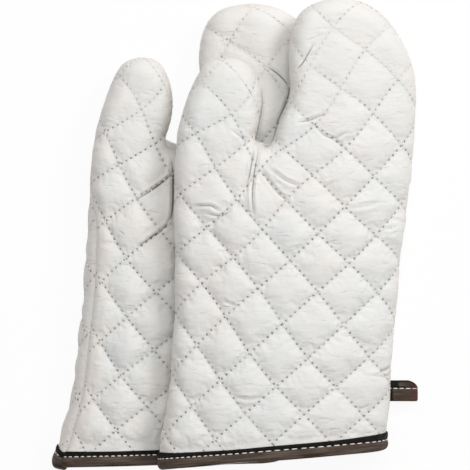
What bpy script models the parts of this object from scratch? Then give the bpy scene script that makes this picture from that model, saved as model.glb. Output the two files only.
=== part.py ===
"""A pair of quilted oven gloves, lying flat with one partly over the other.

Each glove has an upper and a lower panel, joined along a side seam. A panel is a sandwich of three
sheets: an outer cloth, wadding and a lining, drawn together along two families of quilting lines so
that each cell between the lines puffs out. A tape binds the mouth, and a folded tape in the side seam
makes a hanging loop. Lengths are in metres, +Y points to the fingertips and +Z up.
"""
import math

import bmesh
import bpy
import numpy as np
from mathutils import Vector

for old in list(bpy.data.objects):
    bpy.data.objects.remove(old, do_unlink=True)

# Outline of a glove seen from above, from the mouth's left corner round the thumb to the right corner
glove_length = 0.275
glove_width = 0.146
outline_shares = (
    (-0.472, 0.000), (-0.464, 0.059), (-0.418, 0.146), (-0.386, 0.254), (-0.358, 0.363),
    (-0.343, 0.472), (-0.331, 0.582), (-0.314, 0.669), (-0.293, 0.734), (-0.246, 0.803),
    (-0.198, 0.849), (-0.148, 0.876), (-0.077, 0.884), (-0.003, 0.874), (0.042, 0.846),
    (0.060, 0.812), (0.061, 0.775), (0.042, 0.732), (0.024, 0.703), (0.036, 0.684),
    (0.070, 0.682), (0.095, 0.697), (0.131, 0.739), (0.166, 0.777), (0.180, 0.803),
    (0.181, 0.835), (0.186, 0.885), (0.206, 0.934), (0.246, 0.970), (0.311, 0.989),
    (0.416, 0.996), (0.517, 0.981), (0.596, 0.949), (0.658, 0.894), (0.696, 0.837),
    (0.704, 0.782), (0.691, 0.717), (0.673, 0.651), (0.644, 0.565), (0.618, 0.500),
    (0.588, 0.425), (0.560, 0.326), (0.531, 0.239), (0.502, 0.152), (0.482, 0.065),
    (0.464, 0.000),
)
curve_steps = 8
mouth_points = 3
mouth_overrun = 0.006

# Section of a glove: how far each panel's quilting lines lie from the seam, and how it rounds there
upper_height = 0.0160
lower_height = 0.0110
crown_rise = 0.0030
crown_rise_run = 0.0300
edge_round = 0.0120
edge_clear_share = 0.995
rim_angles_deg = (45.0, 0.0)
rim_bend_deg = 24.0

# Quilting: the step from crossing to crossing along each family of lines, and the puff between them
quilt_start = (0.0262, 0.0640)
quilt_steps = (0.0251, 0.0245)
quilt_angles_deg = (-52.3, 39.9)
quilt_line_count = 16
puff_height = 0.0020
puff_top_share = 0.42
full_cell_share = 0.80
inset_start = 0.00001
cut_merge = 0.0000001
on_line = 0.000001

# Sheets of a panel, measured at a quilting line
cloth_thickness = 0.0008
wadding_thickness = 0.0012
lining_thickness = 0.0008
sheet_gap = 0.0003

# Binding tape round the mouth
binding_width = 0.0100
binding_thickness = 0.0009
binding_clearance = 0.0010
binding_gap = 0.0004

# Hanging loop in the side seam
loop_from_mouth = 0.0353
loop_reach = 0.0160
loop_width = 0.0135
loop_thickness = 0.0012
loop_eye_radius = 0.0035
loop_pinch = 0.0030
loop_gap = 0.0005
loop_arc_steps = 8

# Lay of the pair: the lower glove lies flat, the upper one is arched over it down to the surface
lower_place = (0.0, 0.0)
lower_turn_deg = 1.34
upper_place = (0.0639, 0.0009)
upper_turn_deg = 4.34
pressed_height = 0.0095
pressed_least = 0.0050
press_inside = 0.0120
press_outside = 0.0300
lay_gap = 0.0005
arch_left_shares = ((-0.44, 0.00), (-0.30, 0.70))
arch_right_shares = ((0.405, 0.00), (0.638, 0.80))
arch_power = 3.0
upper_loop_droop_deg = 0.0
lower_loop_droop_deg = 25.0

# Colours and finish of the fabrics
cloth_color = (0.76, 0.75, 0.72)
wadding_color = (0.88, 0.88, 0.86)
lining_color = (0.80, 0.79, 0.76)
tape_color = (0.055, 0.030, 0.022)
fabric_roughness = 0.9

sandwich = cloth_thickness + wadding_thickness + lining_thickness + 2 * sheet_gap
lower_total = lower_height + puff_height
binding_line = binding_width + binding_clearance
arch_height = lower_total + pressed_height + puff_height + lay_gap


def ease(share):
    share = min(max(share, 0.0), 1.0)
    return share * share * (3.0 - 2.0 * share)


def line_x(ends, y):
    """Where a line between two outline shares lies across the glove, at the height y."""
    (x_0, y_0), (x_1, y_1) = ends
    share = (y / glove_length - y_0) / (y_1 - y_0)
    return glove_width * (x_0 + (x_1 - x_0) * share)


def outline_curve():
    """The outline as closely spaced points of one smooth curve, run on a little past the mouth."""
    points = [np.array((x * glove_width, y * glove_length)) for x, y in outline_shares]
    points = [2 * points[0] - points[1]] + points + [2 * points[-1] - points[-2]]
    curve = []
    for before, start, end, after in zip(points, points[1:], points[2:], points[3:]):
        for step in range(curve_steps):
            t = step / curve_steps
            curve.append(0.5 * (2 * start + (end - before) * t
                                + (2 * before - 5 * start + 4 * end - after) * t ** 2
                                + (3 * start - before - 3 * end + after) * t ** 3))
    curve.append(points[-2])
    for end, inner in ((0, 1), (-1, -2)):
        outward = curve[end] - curve[inner]
        run_on = curve[end] + outward * mouth_overrun / np.linalg.norm(outward)
        curve.insert(0 if end == 0 else len(curve), run_on)
    return np.array(curve)


def foot_points(points, curve):
    """The nearest point of the curve to each given point."""
    starts = curve[:-1]
    runs = curve[1:] - curve[:-1]
    offsets = points[:, None, :] - starts[None, :, :]
    share = np.clip((offsets * runs).sum(2) / (runs * runs).sum(1), 0.0, 1.0)
    feet = starts + share[:, :, None] * runs
    nearest = np.linalg.norm(points[:, None, :] - feet, axis=2).argmin(1)
    return feet[np.arange(len(points)), nearest]


def depths_inside(points, curve):
    """Distance of each point from the closed curve, positive inside it."""
    closed = np.vstack((curve, curve[:1]))
    distance = np.linalg.norm(points - foot_points(points, closed), axis=1)
    x, y = points[:, 0, None], points[:, 1, None]
    x_0, y_0 = closed[:-1, 0], closed[:-1, 1]
    x_1, y_1 = closed[1:, 0], closed[1:, 1]
    spans = (y_0 > y) != (y_1 > y)
    rise = np.where(y_1 == y_0, 1.0, y_1 - y_0)
    crossings = (spans & (x < x_0 + (y - y_0) * (x_1 - x_0) / rise)).sum(1)
    return np.where(crossings % 2 == 1, distance, -distance)


outline = outline_curve()


def side_x(side, y):
    """The outline's x beside the mouth at the height y: side -1 is the left, +1 the right."""
    near = mouth_points * curve_steps
    end = outline[:near] if side < 0 else outline[-near:][::-1]
    return float(np.interp(y, end[:, 1], end[:, 0]))


class Glove:
    """One glove of the pair: where it lies, and how high its seam and panels are at each place."""

    def __init__(self, name, place, turn_deg):
        self.name = name
        self.place = np.array(place)
        turn = math.radians(turn_deg)
        self.across = np.array((math.cos(turn), math.sin(turn)))
        self.along = np.array((-math.sin(turn), math.cos(turn)))

    def placed(self, plan):
        plan = np.atleast_2d(plan)
        return self.place + plan[:, :1] * self.across + plan[:, 1:] * self.along

    def plan_of(self, spot):
        offset = spot - self.place
        return np.array((offset @ self.across, offset @ self.along))

    def seam_height(self, spot):
        return lower_total

    def lower_crown(self, spot):
        return lower_height

    def free_crown(self, spot):
        depth = depths_inside(self.plan_of(spot)[None, :], outline)[0]
        return upper_height + crown_rise * ease((depth - edge_round) / crown_rise_run)


class UpperGlove(Glove):
    """The glove on top, arched over the lower one and down to the surface at its right side."""

    def lift(self, spot):
        x, y = self.plan_of(spot)
        left = line_x(arch_left_shares, y)
        right = line_x(arch_right_shares, y)
        share = max((x - left) / (right - left), 0.0)
        return arch_height * (1.0 - share ** arch_power)

    def seam_height(self, spot):
        return lower_total + self.lift(spot)

    def upper_crown(self, spot):
        return self.free_crown(spot)


class LowerGlove(Glove):
    """The glove below, pressed down where the upper one lies on it."""

    def __init__(self, name, place, turn_deg, cover):
        super().__init__(name, place, turn_deg)
        self.cover = cover
        self.cover_outline = cover.placed(outline)

    def upper_crown(self, spot):
        depth = depths_inside(spot[None, :], self.cover_outline)[0]
        room = self.cover.lift(spot) - lay_gap - puff_height - lower_total
        pressed = max(room, pressed_least)
        free = ease((press_inside - depth) / (press_inside + press_outside))
        return pressed + (max(self.free_crown(spot), pressed) - pressed) * free


class Sheet:
    """A flat mesh of one glove's plan, with its boundary in order and the puff of each point."""

    def __init__(self, mesh, puffs, sides, mouth):
        self.plan = np.array([vert.co[:2] for vert in mesh.verts])
        self.puffs = [puffs.get(index, 0.0) for index in range(len(mesh.verts))]
        self.faces = [[vert.index for vert in face.verts] for face in mesh.faces]
        self.sides = sides
        self.mouth = mouth


def bisect(mesh, faces, point, normal, clear=False):
    geometry = list(faces)
    geometry += {edge for face in faces for edge in face.edges}
    geometry += {vert for face in faces for vert in face.verts}
    bmesh.ops.bisect_plane(mesh, geom=geometry, dist=cut_merge, plane_co=(*point, 0.0),
                           plane_no=(*normal, 0.0), clear_outer=clear)


def cell_mesh():
    """The plan inside the rounded edge, cut into cells along the quilting lines."""
    runs = np.gradient(outline, axis=0)
    runs /= np.linalg.norm(runs, axis=1)[:, None]
    inward = np.column_stack((runs[:, 1], -runs[:, 0]))
    crown = outline + inward * edge_round
    clearance = np.linalg.norm(crown - foot_points(crown, outline), axis=1)
    crown = crown[clearance > edge_round * edge_clear_share]
    mesh = bmesh.new()
    mesh.faces.new([mesh.verts.new((x, y, 0.0)) for x, y in crown[::-1]])
    bisect(mesh, mesh.faces[:], (0.0, 0.0), (0.0, -1.0), clear=True)
    bisect(mesh, mesh.faces[:], (0.0, binding_line), (0.0, 1.0))
    angles = [math.radians(angle) for angle in quilt_angles_deg]
    ways = [np.array((math.cos(angle), math.sin(angle))) for angle in angles]
    for way, other, step in ((ways[0], ways[1], quilt_steps[1]), (ways[1], ways[0], quilt_steps[0])):
        for count in range(-quilt_line_count, quilt_line_count + 1):
            point = np.array(quilt_start) + other * step * count
            quilted = [face for face in mesh.faces if face.calc_center_median().y > binding_line]
            bisect(mesh, quilted, point, (-way[1], way[0]))
    hem_points = [vert.co.x for vert in mesh.verts if abs(vert.co.y - binding_line) < on_line]
    for x in sorted(hem_points)[1:-1]:
        hem = [face for face in mesh.faces if face.calc_center_median().y < binding_line]
        bisect(mesh, hem, (x, 0.0), (1.0, 0.0))
    return mesh


def boundary_walk(mesh):
    """The boundary's vertices in order, from the mouth's left corner round the thumb."""
    corners = sorted((vert for vert in mesh.verts if vert.co.y < on_line), key=lambda vert: vert.co.x)
    walk = [corners[0]]
    came_from = None
    while True:
        edges = [edge for edge in walk[-1].link_edges if edge.is_boundary and edge is not came_from]
        if came_from is None:
            edges.sort(key=lambda edge: -edge.other_vert(walk[-1]).co.y)
        came_from = edges[0]
        following = came_from.other_vert(walk[-1])
        if following is walk[0]:
            return walk, corners[-1]
        walk.append(following)


def thin_boundary(mesh):
    """Leave out side points on nearly straight runs, but keep those where a quilting line ends."""
    bend_limit = math.radians(rim_bend_deg)
    walk, right_corner = boundary_walk(mesh)
    sides = walk[:walk.index(right_corner) + 1]
    spare = []
    bend = 0.0
    run = 0.0
    for before, vert, after in zip(sides, sides[1:], sides[2:]):
        bend += abs((vert.co - before.co).to_2d().angle_signed((after.co - vert.co).to_2d()))
        run += (vert.co - before.co).length
        if len(vert.link_edges) > 2 or bend > bend_limit or run > quilt_steps[0]:
            bend = 0.0
            run = 0.0
        else:
            spare.append(vert)
    bmesh.ops.dissolve_verts(mesh, verts=spare)


def cell_puff(face):
    """How far a cell puffs out: fully for a whole cell, less for one that the edge cuts."""
    turn = math.radians(quilt_angles_deg[1] - quilt_angles_deg[0])
    whole = quilt_steps[0] * quilt_steps[1] * math.sin(turn)
    share = face.calc_area() / whole
    return 1.0 if share > full_cell_share else share


def plan_sheets():
    """The three plan meshes: cells with raised tops, cells with a raised middle, and plain ones."""
    mesh = cell_mesh()
    thin_boundary(mesh)
    hem = [face for face in mesh.faces if face.calc_center_median().y < binding_line]
    bmesh.ops.triangulate(mesh, faces=hem)
    store = bpy.data.meshes.new("plan")
    mesh.to_mesh(store)
    mesh.free()
    sheets = []
    for kind in ("raised", "domed", "plain"):
        mesh = bmesh.new()
        mesh.from_mesh(store)
        mesh.verts.index_update()
        mesh.verts.ensure_lookup_table()
        walk, right_corner = boundary_walk(mesh)
        turn = walk.index(right_corner)
        sides = [vert.index for vert in walk[:turn + 1]]
        mouth = [vert.index for vert in walk[turn:] + walk[:1]][::-1]
        cells = [face for face in mesh.faces if face.calc_center_median().y > binding_line]
        raised = {}
        for cell in cells:
            height = cell_puff(cell)
            middle = cell.calc_center_median()
            corners = [vert.co.copy() for vert in cell.verts]
            if kind == "raised":
                bmesh.ops.inset_individual(mesh, faces=[cell], thickness=inset_start)
                for vert, corner in zip(cell.verts, corners):
                    vert.co = middle.lerp(corner, puff_top_share)
                    raised[vert] = height
            elif kind == "domed":
                poked = bmesh.ops.poke(mesh, faces=[cell])
                raised[poked["verts"][0]] = height
        if kind == "plain":
            bmesh.ops.triangulate(mesh, faces=cells)
        mesh.verts.index_update()
        puffs = {vert.index: height for vert, height in raised.items()}
        sheets.append(Sheet(mesh, puffs, sides, mouth))
        mesh.free()
    bpy.data.meshes.remove(store)
    return sheets


def rim_point(glove, face, crown_spot, seam_spot, angle, depth):
    """A point of the rounded edge, the given depth below the outer surface."""
    reach = np.linalg.norm(seam_spot - crown_spot)
    outward = (seam_spot - crown_spot) / reach
    crown = glove.upper_crown if face > 0 else glove.lower_crown
    height = crown(crown_spot)
    slope = np.array((math.cos(angle) / reach, math.sin(angle) / height))
    slope /= np.linalg.norm(slope)
    spot = crown_spot + outward * (reach * math.cos(angle) - depth * slope[0])
    rise = max(height * math.sin(angle) - depth * slope[1], sheet_gap / 2)
    return (*spot, glove.seam_height(spot) + face * rise)


class Surface:
    """One face of a layer: the sheet at a depth below the panel's outer surface, with its rim rows."""

    def __init__(self, glove, face, sheet, depth, puff):
        crown = glove.upper_crown if face > 0 else glove.lower_crown
        spots = glove.placed(sheet.plan)
        self.points = [(*spot, glove.seam_height(spot) + face * (crown(spot) - depth + puff * share))
                       for spot, share in zip(spots, sheet.puffs)]
        self.faces = [list(corners) for corners in sheet.faces]
        side_plan = sheet.plan[sheet.sides]
        feet = foot_points(side_plan, outline)
        feet[0] = (side_x(-1, 0.0), 0.0)
        feet[-1] = (side_x(1, 0.0), 0.0)
        rows = [list(sheet.sides)]
        for angle_deg in rim_angles_deg:
            first = len(self.points)
            for crown_spot, seam_spot in zip(glove.placed(side_plan), glove.placed(feet)):
                angle = math.radians(angle_deg)
                self.points.append(rim_point(glove, face, crown_spot, seam_spot, angle, depth))
            rows.append(list(range(first, len(self.points))))
        for inner, outer in zip(rows, rows[1:]):
            self.faces += strip(inner, outer)
        self.seam = rows[-1]
        left = [row[0] for row in rows[:0:-1]]
        right = [row[-1] for row in rows[1:]]
        self.mouth = left + list(sheet.mouth) + right


def strip(row, next_row):
    """Triangles between two rows of as many points, cut along the same diagonal in every layer."""
    triangles = []
    for a, b, c, d in zip(row, row[1:], next_row[1:], next_row):
        triangles += [[a, b, c], [a, c, d]]
    return triangles


def fabric(name, color):
    finish = bpy.data.materials.new(name)
    finish.use_nodes = True
    shader = finish.node_tree.nodes["Principled BSDF"]
    shader.inputs["Base Color"].default_value = (*color, 1.0)
    shader.inputs["Roughness"].default_value = fabric_roughness
    shader.inputs["Metallic"].default_value = 0.0
    return finish


def solid(name, points, faces, glove, color):
    """An object in its glove's frame from points in the pair's frame, faces pointing out."""
    data = bpy.data.meshes.new(name)
    origin = np.array((*glove.place, 0.0))
    data.from_pydata([Vector(np.array(point) - origin) for point in points], [], faces)
    mesh = bmesh.new()
    mesh.from_mesh(data)
    bmesh.ops.recalc_face_normals(mesh, faces=mesh.faces)
    mesh.to_mesh(data)
    mesh.free()
    part = bpy.data.objects.new(name, data)
    collection.objects.link(part)
    part.parent = glove.frame
    data.materials.append(fabric(name, color))


def layer(name, glove, face, outer, inner, color):
    """A closed solid between two surfaces of one panel."""
    outside = Surface(glove, face, *outer)
    inside = Surface(glove, face, *inner)
    shift = len(outside.points)
    faces = outside.faces + [[shift + corner for corner in corners] for corners in inside.faces]
    faces += strip(outside.seam, [shift + corner for corner in inside.seam])
    faces += strip(outside.mouth, [shift + corner for corner in inside.mouth])
    solid(name, outside.points + inside.points, faces, glove, color)


def panel(glove, face, sheets):
    """Outer cloth, wadding and lining of one panel."""
    raised, domed, plain = sheets
    side = "palm" if face < 0 else "back"
    wadding_top = cloth_thickness + sheet_gap
    lining_top = wadding_top + wadding_thickness + sheet_gap
    layer(f"{glove.name}_{side}_outer_cloth", glove, face,
          (raised, 0.0, puff_height), (domed, cloth_thickness, puff_height), cloth_color)
    layer(f"{glove.name}_{side}_wadding", glove, face,
          (domed, wadding_top, puff_height), (plain, wadding_top + wadding_thickness, 0.0),
          wadding_color)
    layer(f"{glove.name}_{side}_lining", glove, face,
          (plain, lining_top, 0.0), (plain, lining_top + lining_thickness, 0.0),
          lining_color)


def binding(glove, sheet):
    """The tape folded over the mouth's edge: a U section carried once round the mouth."""
    hems = {-1: sheet.plan[sheet.sides[:2]], 1: sheet.plan[sheet.sides[:-3:-1]]}
    seams = {side: foot_points(hem, outline) for side, hem in hems.items()}
    for side, seam in seams.items():
        seam[0] = (side_x(side, 0.0), 0.0)
    rims = [math.radians(angle_deg) for angle_deg in (90.0, *rim_angles_deg)]
    upper = [(1, -1, angle) for angle in rims[::-1]]
    upper += [(1, 0, x) for x in sheet.plan[sheet.mouth][1:-1, 0]]
    upper += [(1, 1, angle) for angle in rims]
    stations = upper + [(-1, side, value) for face, side, value in upper[-2:0:-1]]
    outer = binding_gap + binding_thickness
    profile = [(-outer, -outer), (-outer, binding_width), (-binding_gap, binding_width),
               (-binding_gap, -binding_gap), (sandwich + binding_gap, -binding_gap),
               (sandwich + binding_gap, binding_width), (sandwich + outer, binding_width),
               (sandwich + outer, -outer)]
    points = []
    for face, side, value in stations:
        for depth, y in profile:
            share = max(y, 0.0) / binding_line
            if side:
                hem = hems[side][0] + (hems[side][1] - hems[side][0]) * share
                seam = seams[side][0] + (seams[side][1] - seams[side][0]) * share
                crown_spot, seam_spot = glove.placed([hem, seam])
                point = np.array(rim_point(glove, face, crown_spot, seam_spot, value, depth))
                if value == 0.0:
                    point[2] = glove.seam_height(point[:2])
            else:
                spot = glove.placed((value, max(y, 0.0)))[0]
                crown = glove.upper_crown if face > 0 else glove.lower_crown
                point = np.array((*spot, glove.seam_height(spot) + face * (crown(spot) - depth)))
            point[:2] += glove.along * min(y, 0.0)
            points.append(point)
    faces = []
    count = len(profile)
    for station, following in enumerate(stations[1:] + stations[:1]):
        first = [station * count + corner for corner in range(count)]
        second = [(station + 1) % len(stations) * count + corner for corner in range(count)]
        if min(stations[station][0], following[0]) < 0:
            faces += strip(first[::-1] + first[-1:], second[::-1] + second[-1:])
        else:
            faces += strip(first + first[:1], second + second[:1])
    solid(f"{glove.name}_cuff_binding", points, faces, glove, tape_color)


def arc(middle, radius, start_deg, end_deg, steps):
    angles = [math.radians(start_deg + (end_deg - start_deg) * step / steps) for step in range(steps + 1)]
    return [(middle + radius * math.cos(angle), radius * math.sin(angle)) for angle in angles]


def loop(glove, droop_deg):
    """The folded tape: pinched in the side seam, open in the middle and rounded at its outer end."""
    near_seam = glove.placed([(side_x(1, loop_from_mouth + reach), loop_from_mouth + reach)
                              for reach in (-loop_width / 2, 0.0, loop_width / 2)])
    hinge_x = near_seam[:, 0].max() + loop_gap + loop_thickness
    hinge = np.array((hinge_x, near_seam[1, 1]))
    hinge_z = glove.seam_height(near_seam[1])
    bend = loop_reach - 2 * loop_thickness - loop_eye_radius
    outer_radius = loop_eye_radius + loop_thickness
    lean = math.degrees(math.asin((outer_radius - loop_thickness) / bend))
    half = 90.0 + lean
    outside = arc(0.0, loop_thickness, half, 360.0 - half, loop_arc_steps // 2)
    outside += arc(bend, outer_radius, -half, half, loop_arc_steps + 1)
    inner_half = math.degrees(math.acos(-loop_eye_radius / (bend - loop_pinch)))
    inside = [(loop_pinch, 0.0)] + arc(bend, loop_eye_radius, -inner_half, inner_half, loop_arc_steps + 1)
    curve = bpy.data.curves.new(f"{glove.name}_hanging_loop", "CURVE")
    curve.dimensions = "2D"
    curve.fill_mode = "BOTH"
    curve.extrude = loop_width / 2
    for contour in (outside, inside):
        spline = curve.splines.new("POLY")
        spline.points.add(len(contour) - 1)
        for point, (x, y) in zip(spline.points, contour):
            point.co = (x, y, 0.0, 1.0)
        spline.use_cyclic_u = True
    curve.materials.append(fabric(curve.name, tape_color))
    part = bpy.data.objects.new(curve.name, curve)
    collection.objects.link(part)
    part.parent = glove.frame
    part.location = (*(hinge - glove.place), hinge_z)
    part.rotation_euler = (math.radians(90.0), math.radians(droop_deg), 0.0)


def centre_on_base(gloves):
    """Move the pair so that the middle of its base is at the origin."""
    bpy.context.view_layer.update()
    corners = []
    for part in collection.objects:
        if part.type != "EMPTY":
            corners += [part.matrix_world @ Vector(corner) for corner in part.bound_box]
    low = Vector([min(corner[axis] for corner in corners) for axis in range(3)])
    high = Vector([max(corner[axis] for corner in corners) for axis in range(3)])
    middle = (low + high) / 2
    for glove in gloves:
        glove.frame.location -= Vector((middle.x, middle.y, low.z))


collection = bpy.data.collections.new("oven_gloves")
bpy.context.scene.collection.children.link(collection)

upper_glove = UpperGlove("upper_glove", upper_place, upper_turn_deg)
lower_glove = LowerGlove("lower_glove", lower_place, lower_turn_deg, upper_glove)
plan = plan_sheets()
for glove, droop_deg in ((lower_glove, lower_loop_droop_deg), (upper_glove, upper_loop_droop_deg)):
    glove.frame = bpy.data.objects.new(f"{glove.name}_frame", None)
    glove.frame.location = (*glove.place, 0.0)
    collection.objects.link(glove.frame)
    for face in (-1, 1):
        panel(glove, face, plan)
    binding(glove, plan[2])
    loop(glove, droop_deg)
centre_on_base((lower_glove, upper_glove))
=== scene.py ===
"""A pair of quilted oven gloves lying flat, the right one partly over the left one.

Each glove is two quilted panels sewn together round the hand and the thumb, with a dark tape bound
over the mouth and a folded loop of the same tape in the side seam. Lengths are in metres.
"""

import math

import bpy
import numpy as np
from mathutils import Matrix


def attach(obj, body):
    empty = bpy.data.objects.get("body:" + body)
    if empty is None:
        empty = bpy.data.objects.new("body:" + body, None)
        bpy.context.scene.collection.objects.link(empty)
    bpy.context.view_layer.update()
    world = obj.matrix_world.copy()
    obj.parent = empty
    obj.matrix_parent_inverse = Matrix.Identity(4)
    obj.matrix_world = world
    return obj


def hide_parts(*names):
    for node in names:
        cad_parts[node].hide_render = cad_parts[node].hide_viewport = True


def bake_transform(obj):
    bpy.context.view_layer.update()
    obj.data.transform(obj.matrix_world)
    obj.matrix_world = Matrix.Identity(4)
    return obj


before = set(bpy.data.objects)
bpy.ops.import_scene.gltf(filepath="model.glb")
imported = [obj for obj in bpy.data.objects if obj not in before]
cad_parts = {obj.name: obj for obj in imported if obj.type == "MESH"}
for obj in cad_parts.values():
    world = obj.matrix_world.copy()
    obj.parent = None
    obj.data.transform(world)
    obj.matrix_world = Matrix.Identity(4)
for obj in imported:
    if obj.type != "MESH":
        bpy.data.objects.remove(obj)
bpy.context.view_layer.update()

# The camera looks straight down on the pair from far above, as in the photograph, so that both gloves
# are seen without perspective.
view_centre = (0.0004, -0.0007)
view_width = 0.2834
view_level = 0.02
camera_height = 5.0
sensor_width = 36.0


def set_out(name, data):
    """A new object of the scene, with its data."""
    made = bpy.data.objects.new(name, data)
    bpy.context.scene.collection.objects.link(made)
    return made


camera = set_out("camera", bpy.data.cameras.new("camera"))
camera.data.sensor_width = sensor_width
camera.data.lens = sensor_width * (camera_height - view_level) / view_width
camera.location = (*view_centre, camera_height)
bpy.context.scene.camera = camera

# The cut of a glove: one line round the hand and the thumb, from the mouth's left corner to its right
# one. Both panels of both gloves are cut to it, and the cloth rolls over a rounded edge to the seam.
glove_length = 0.275
glove_width = 0.146
edge_shares = (
    (-0.472, 0.000), (-0.464, 0.059), (-0.418, 0.146), (-0.386, 0.254), (-0.358, 0.363),
    (-0.343, 0.472), (-0.331, 0.582), (-0.314, 0.669), (-0.293, 0.734), (-0.246, 0.803),
    (-0.198, 0.849), (-0.148, 0.876), (-0.077, 0.884), (-0.003, 0.874), (0.042, 0.846),
    (0.060, 0.812), (0.061, 0.775), (0.042, 0.732), (0.024, 0.703), (0.036, 0.684),
    (0.070, 0.682), (0.095, 0.697), (0.131, 0.739), (0.166, 0.777), (0.180, 0.803),
    (0.181, 0.835), (0.186, 0.885), (0.206, 0.934), (0.246, 0.970), (0.311, 0.989),
    (0.416, 0.996), (0.517, 0.981), (0.596, 0.949), (0.658, 0.894), (0.696, 0.837),
    (0.704, 0.782), (0.691, 0.717), (0.673, 0.651), (0.644, 0.565), (0.618, 0.500),
    (0.588, 0.425), (0.560, 0.326), (0.531, 0.239), (0.502, 0.152), (0.482, 0.065),
    (0.464, 0.000),
)
edge_round = 0.012
edge_take_up = 0.007
crotch = (0.0073, 0.190)
crotch_reach = 0.020
crotch_share = 0.42
line_steps = 16
run_on_steps = 12
run_on_step = 0.001
batch = 3000


def smooth_line(points, steps):
    """Closely spaced points of the smooth line through the given ones."""
    points = np.array(points, float)
    points = np.vstack((2 * points[0] - points[1], points, 2 * points[-1] - points[-2]))
    share = np.arange(steps)[:, None] / steps
    line = []
    for before, start, end, after in zip(points, points[1:], points[2:], points[3:]):
        line.append(0.5 * (2 * start + (end - before) * share
                           + (2 * before - 5 * start + 4 * end - after) * share ** 2
                           + (3 * start - before - 3 * end + after) * share ** 3))
    return np.vstack((*line, points[-2]))


def unit(ways):
    """The same directions, each with a length of one."""
    return ways / np.linalg.norm(ways, axis=-1)[..., None]


def ease(share):
    """A soft start and end between 0 and 1."""
    share = np.clip(share, 0.0, 1.0)
    return share * share * (3.0 - 2.0 * share)


def bell(away, reach):
    """One where nothing is away, and falling softly to nothing past the reach."""
    return np.exp(-(away / reach) ** 2)


edge_line = smooth_line(np.array(edge_shares) * (glove_width, glove_length), line_steps)
run_on = np.arange(1, run_on_steps + 1)[:, None] * run_on_step
edge_ways = [edge_line[end] - edge_line[inner] for end, inner in ((0, 1), (-1, -2))]
edge_ways = [way / np.linalg.norm(way) for way in edge_ways]
edge_line = np.vstack((edge_line[0] + edge_ways[0] * run_on[::-1], edge_line,
                       edge_line[-1] + edge_ways[1] * run_on))
edge_runs = unit(np.gradient(edge_line, axis=0))
edge_inward = np.column_stack((edge_runs[:, 1], -edge_runs[:, 0]))


def beside_edge(flat):
    """Each point's depth inside the edge line, its foot on the line and the inward direction there."""
    depth = np.empty(len(flat))
    foot = np.empty((len(flat), 2))
    inward = np.empty((len(flat), 2))
    for first in range(0, len(flat), batch):
        here = slice(first, first + batch)
        part = flat[here]
        near = ((edge_line ** 2).sum(1) - 2 * part @ edge_line.T).argmin(1)
        best = np.full(len(part), np.inf)
        for start in (np.maximum(near - 1, 0), np.minimum(near, len(edge_line) - 2)):
            run = edge_line[start + 1] - edge_line[start]
            share = ((part - edge_line[start]) * run).sum(1) / (run * run).sum(1)
            share = np.clip(share, 0.0, 1.0)[:, None]
            at = edge_line[start] + run * share
            away = np.linalg.norm(part - at, axis=1)
            nearer = away < best
            way = unit(edge_inward[start] * (1 - share) + edge_inward[start + 1] * share)
            side = np.sign(((part - at) * way).sum(1))
            best[nearer] = away[nearer]
            depth[here][nearer] = (away * side)[nearer]
            foot[here][nearer] = at[nearer]
            inward[here][nearer] = way[nearer]
    return depth, foot, inward


def taken_up(foot):
    """How much more cloth than its width in plan the rounded edge takes up, less in the crotch."""
    near = np.exp(-(((foot - crotch) ** 2).sum(1)) / crotch_reach ** 2)
    return edge_take_up * (1 - crotch_share * near)


# How the pair lies: the lower glove flat on the table, the upper one turned a little and arched over
# it down to the table at its right side. The lower glove's side seam has rolled on to its back.
upper_height = 0.016
lower_height = 0.011
crown_rise = 0.003
crown_rise_run = 0.030
seam_level = 0.013
arch_height = 0.025
arch_left = ((-0.44, 0.00), (-0.30, 0.70))
arch_right = ((0.405, 0.00), (0.638, 0.80))
arch_power = 3.0
pressed_gap = 0.0155
pressed_least = 0.005
press_inside = 0.012
press_outside = 0.030
rolled_seam = 0.012
rolled_full = 0.127
rolled_none = 0.187
drawn_in = 0.0042
drawn_reach = 0.042
drawn_from = 0.018
thumb_top = 0.215
thumb_run = 0.025
thumb_less = 0.5
hand_spot = (0.026, 0.250)
hand_shift = (-0.0030, 0.0018)
hand_reach = 0.024
roll_draw = 0.0012
roll_at = 0.150
roll_reach = 0.014
left_edge = np.array(edge_shares[:12])
right_edge = np.array(edge_shares[:39:-1])
caught_out = 0.0012
caught_at = 0.0352
caught_reach = 0.010


def edge_at(shares, y):
    """How far to the side the cut's edge lies at each height."""
    return glove_width * np.interp(y / glove_length, shares[:, 1], shares[:, 0])


def line_across(ends, y):
    """How far to the side a slanting line lies at each height."""
    (x_0, y_0), (x_1, y_1) = ends
    return glove_width * (x_0 + (x_1 - x_0) * (y / glove_length - y_0) / (y_1 - y_0))


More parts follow.
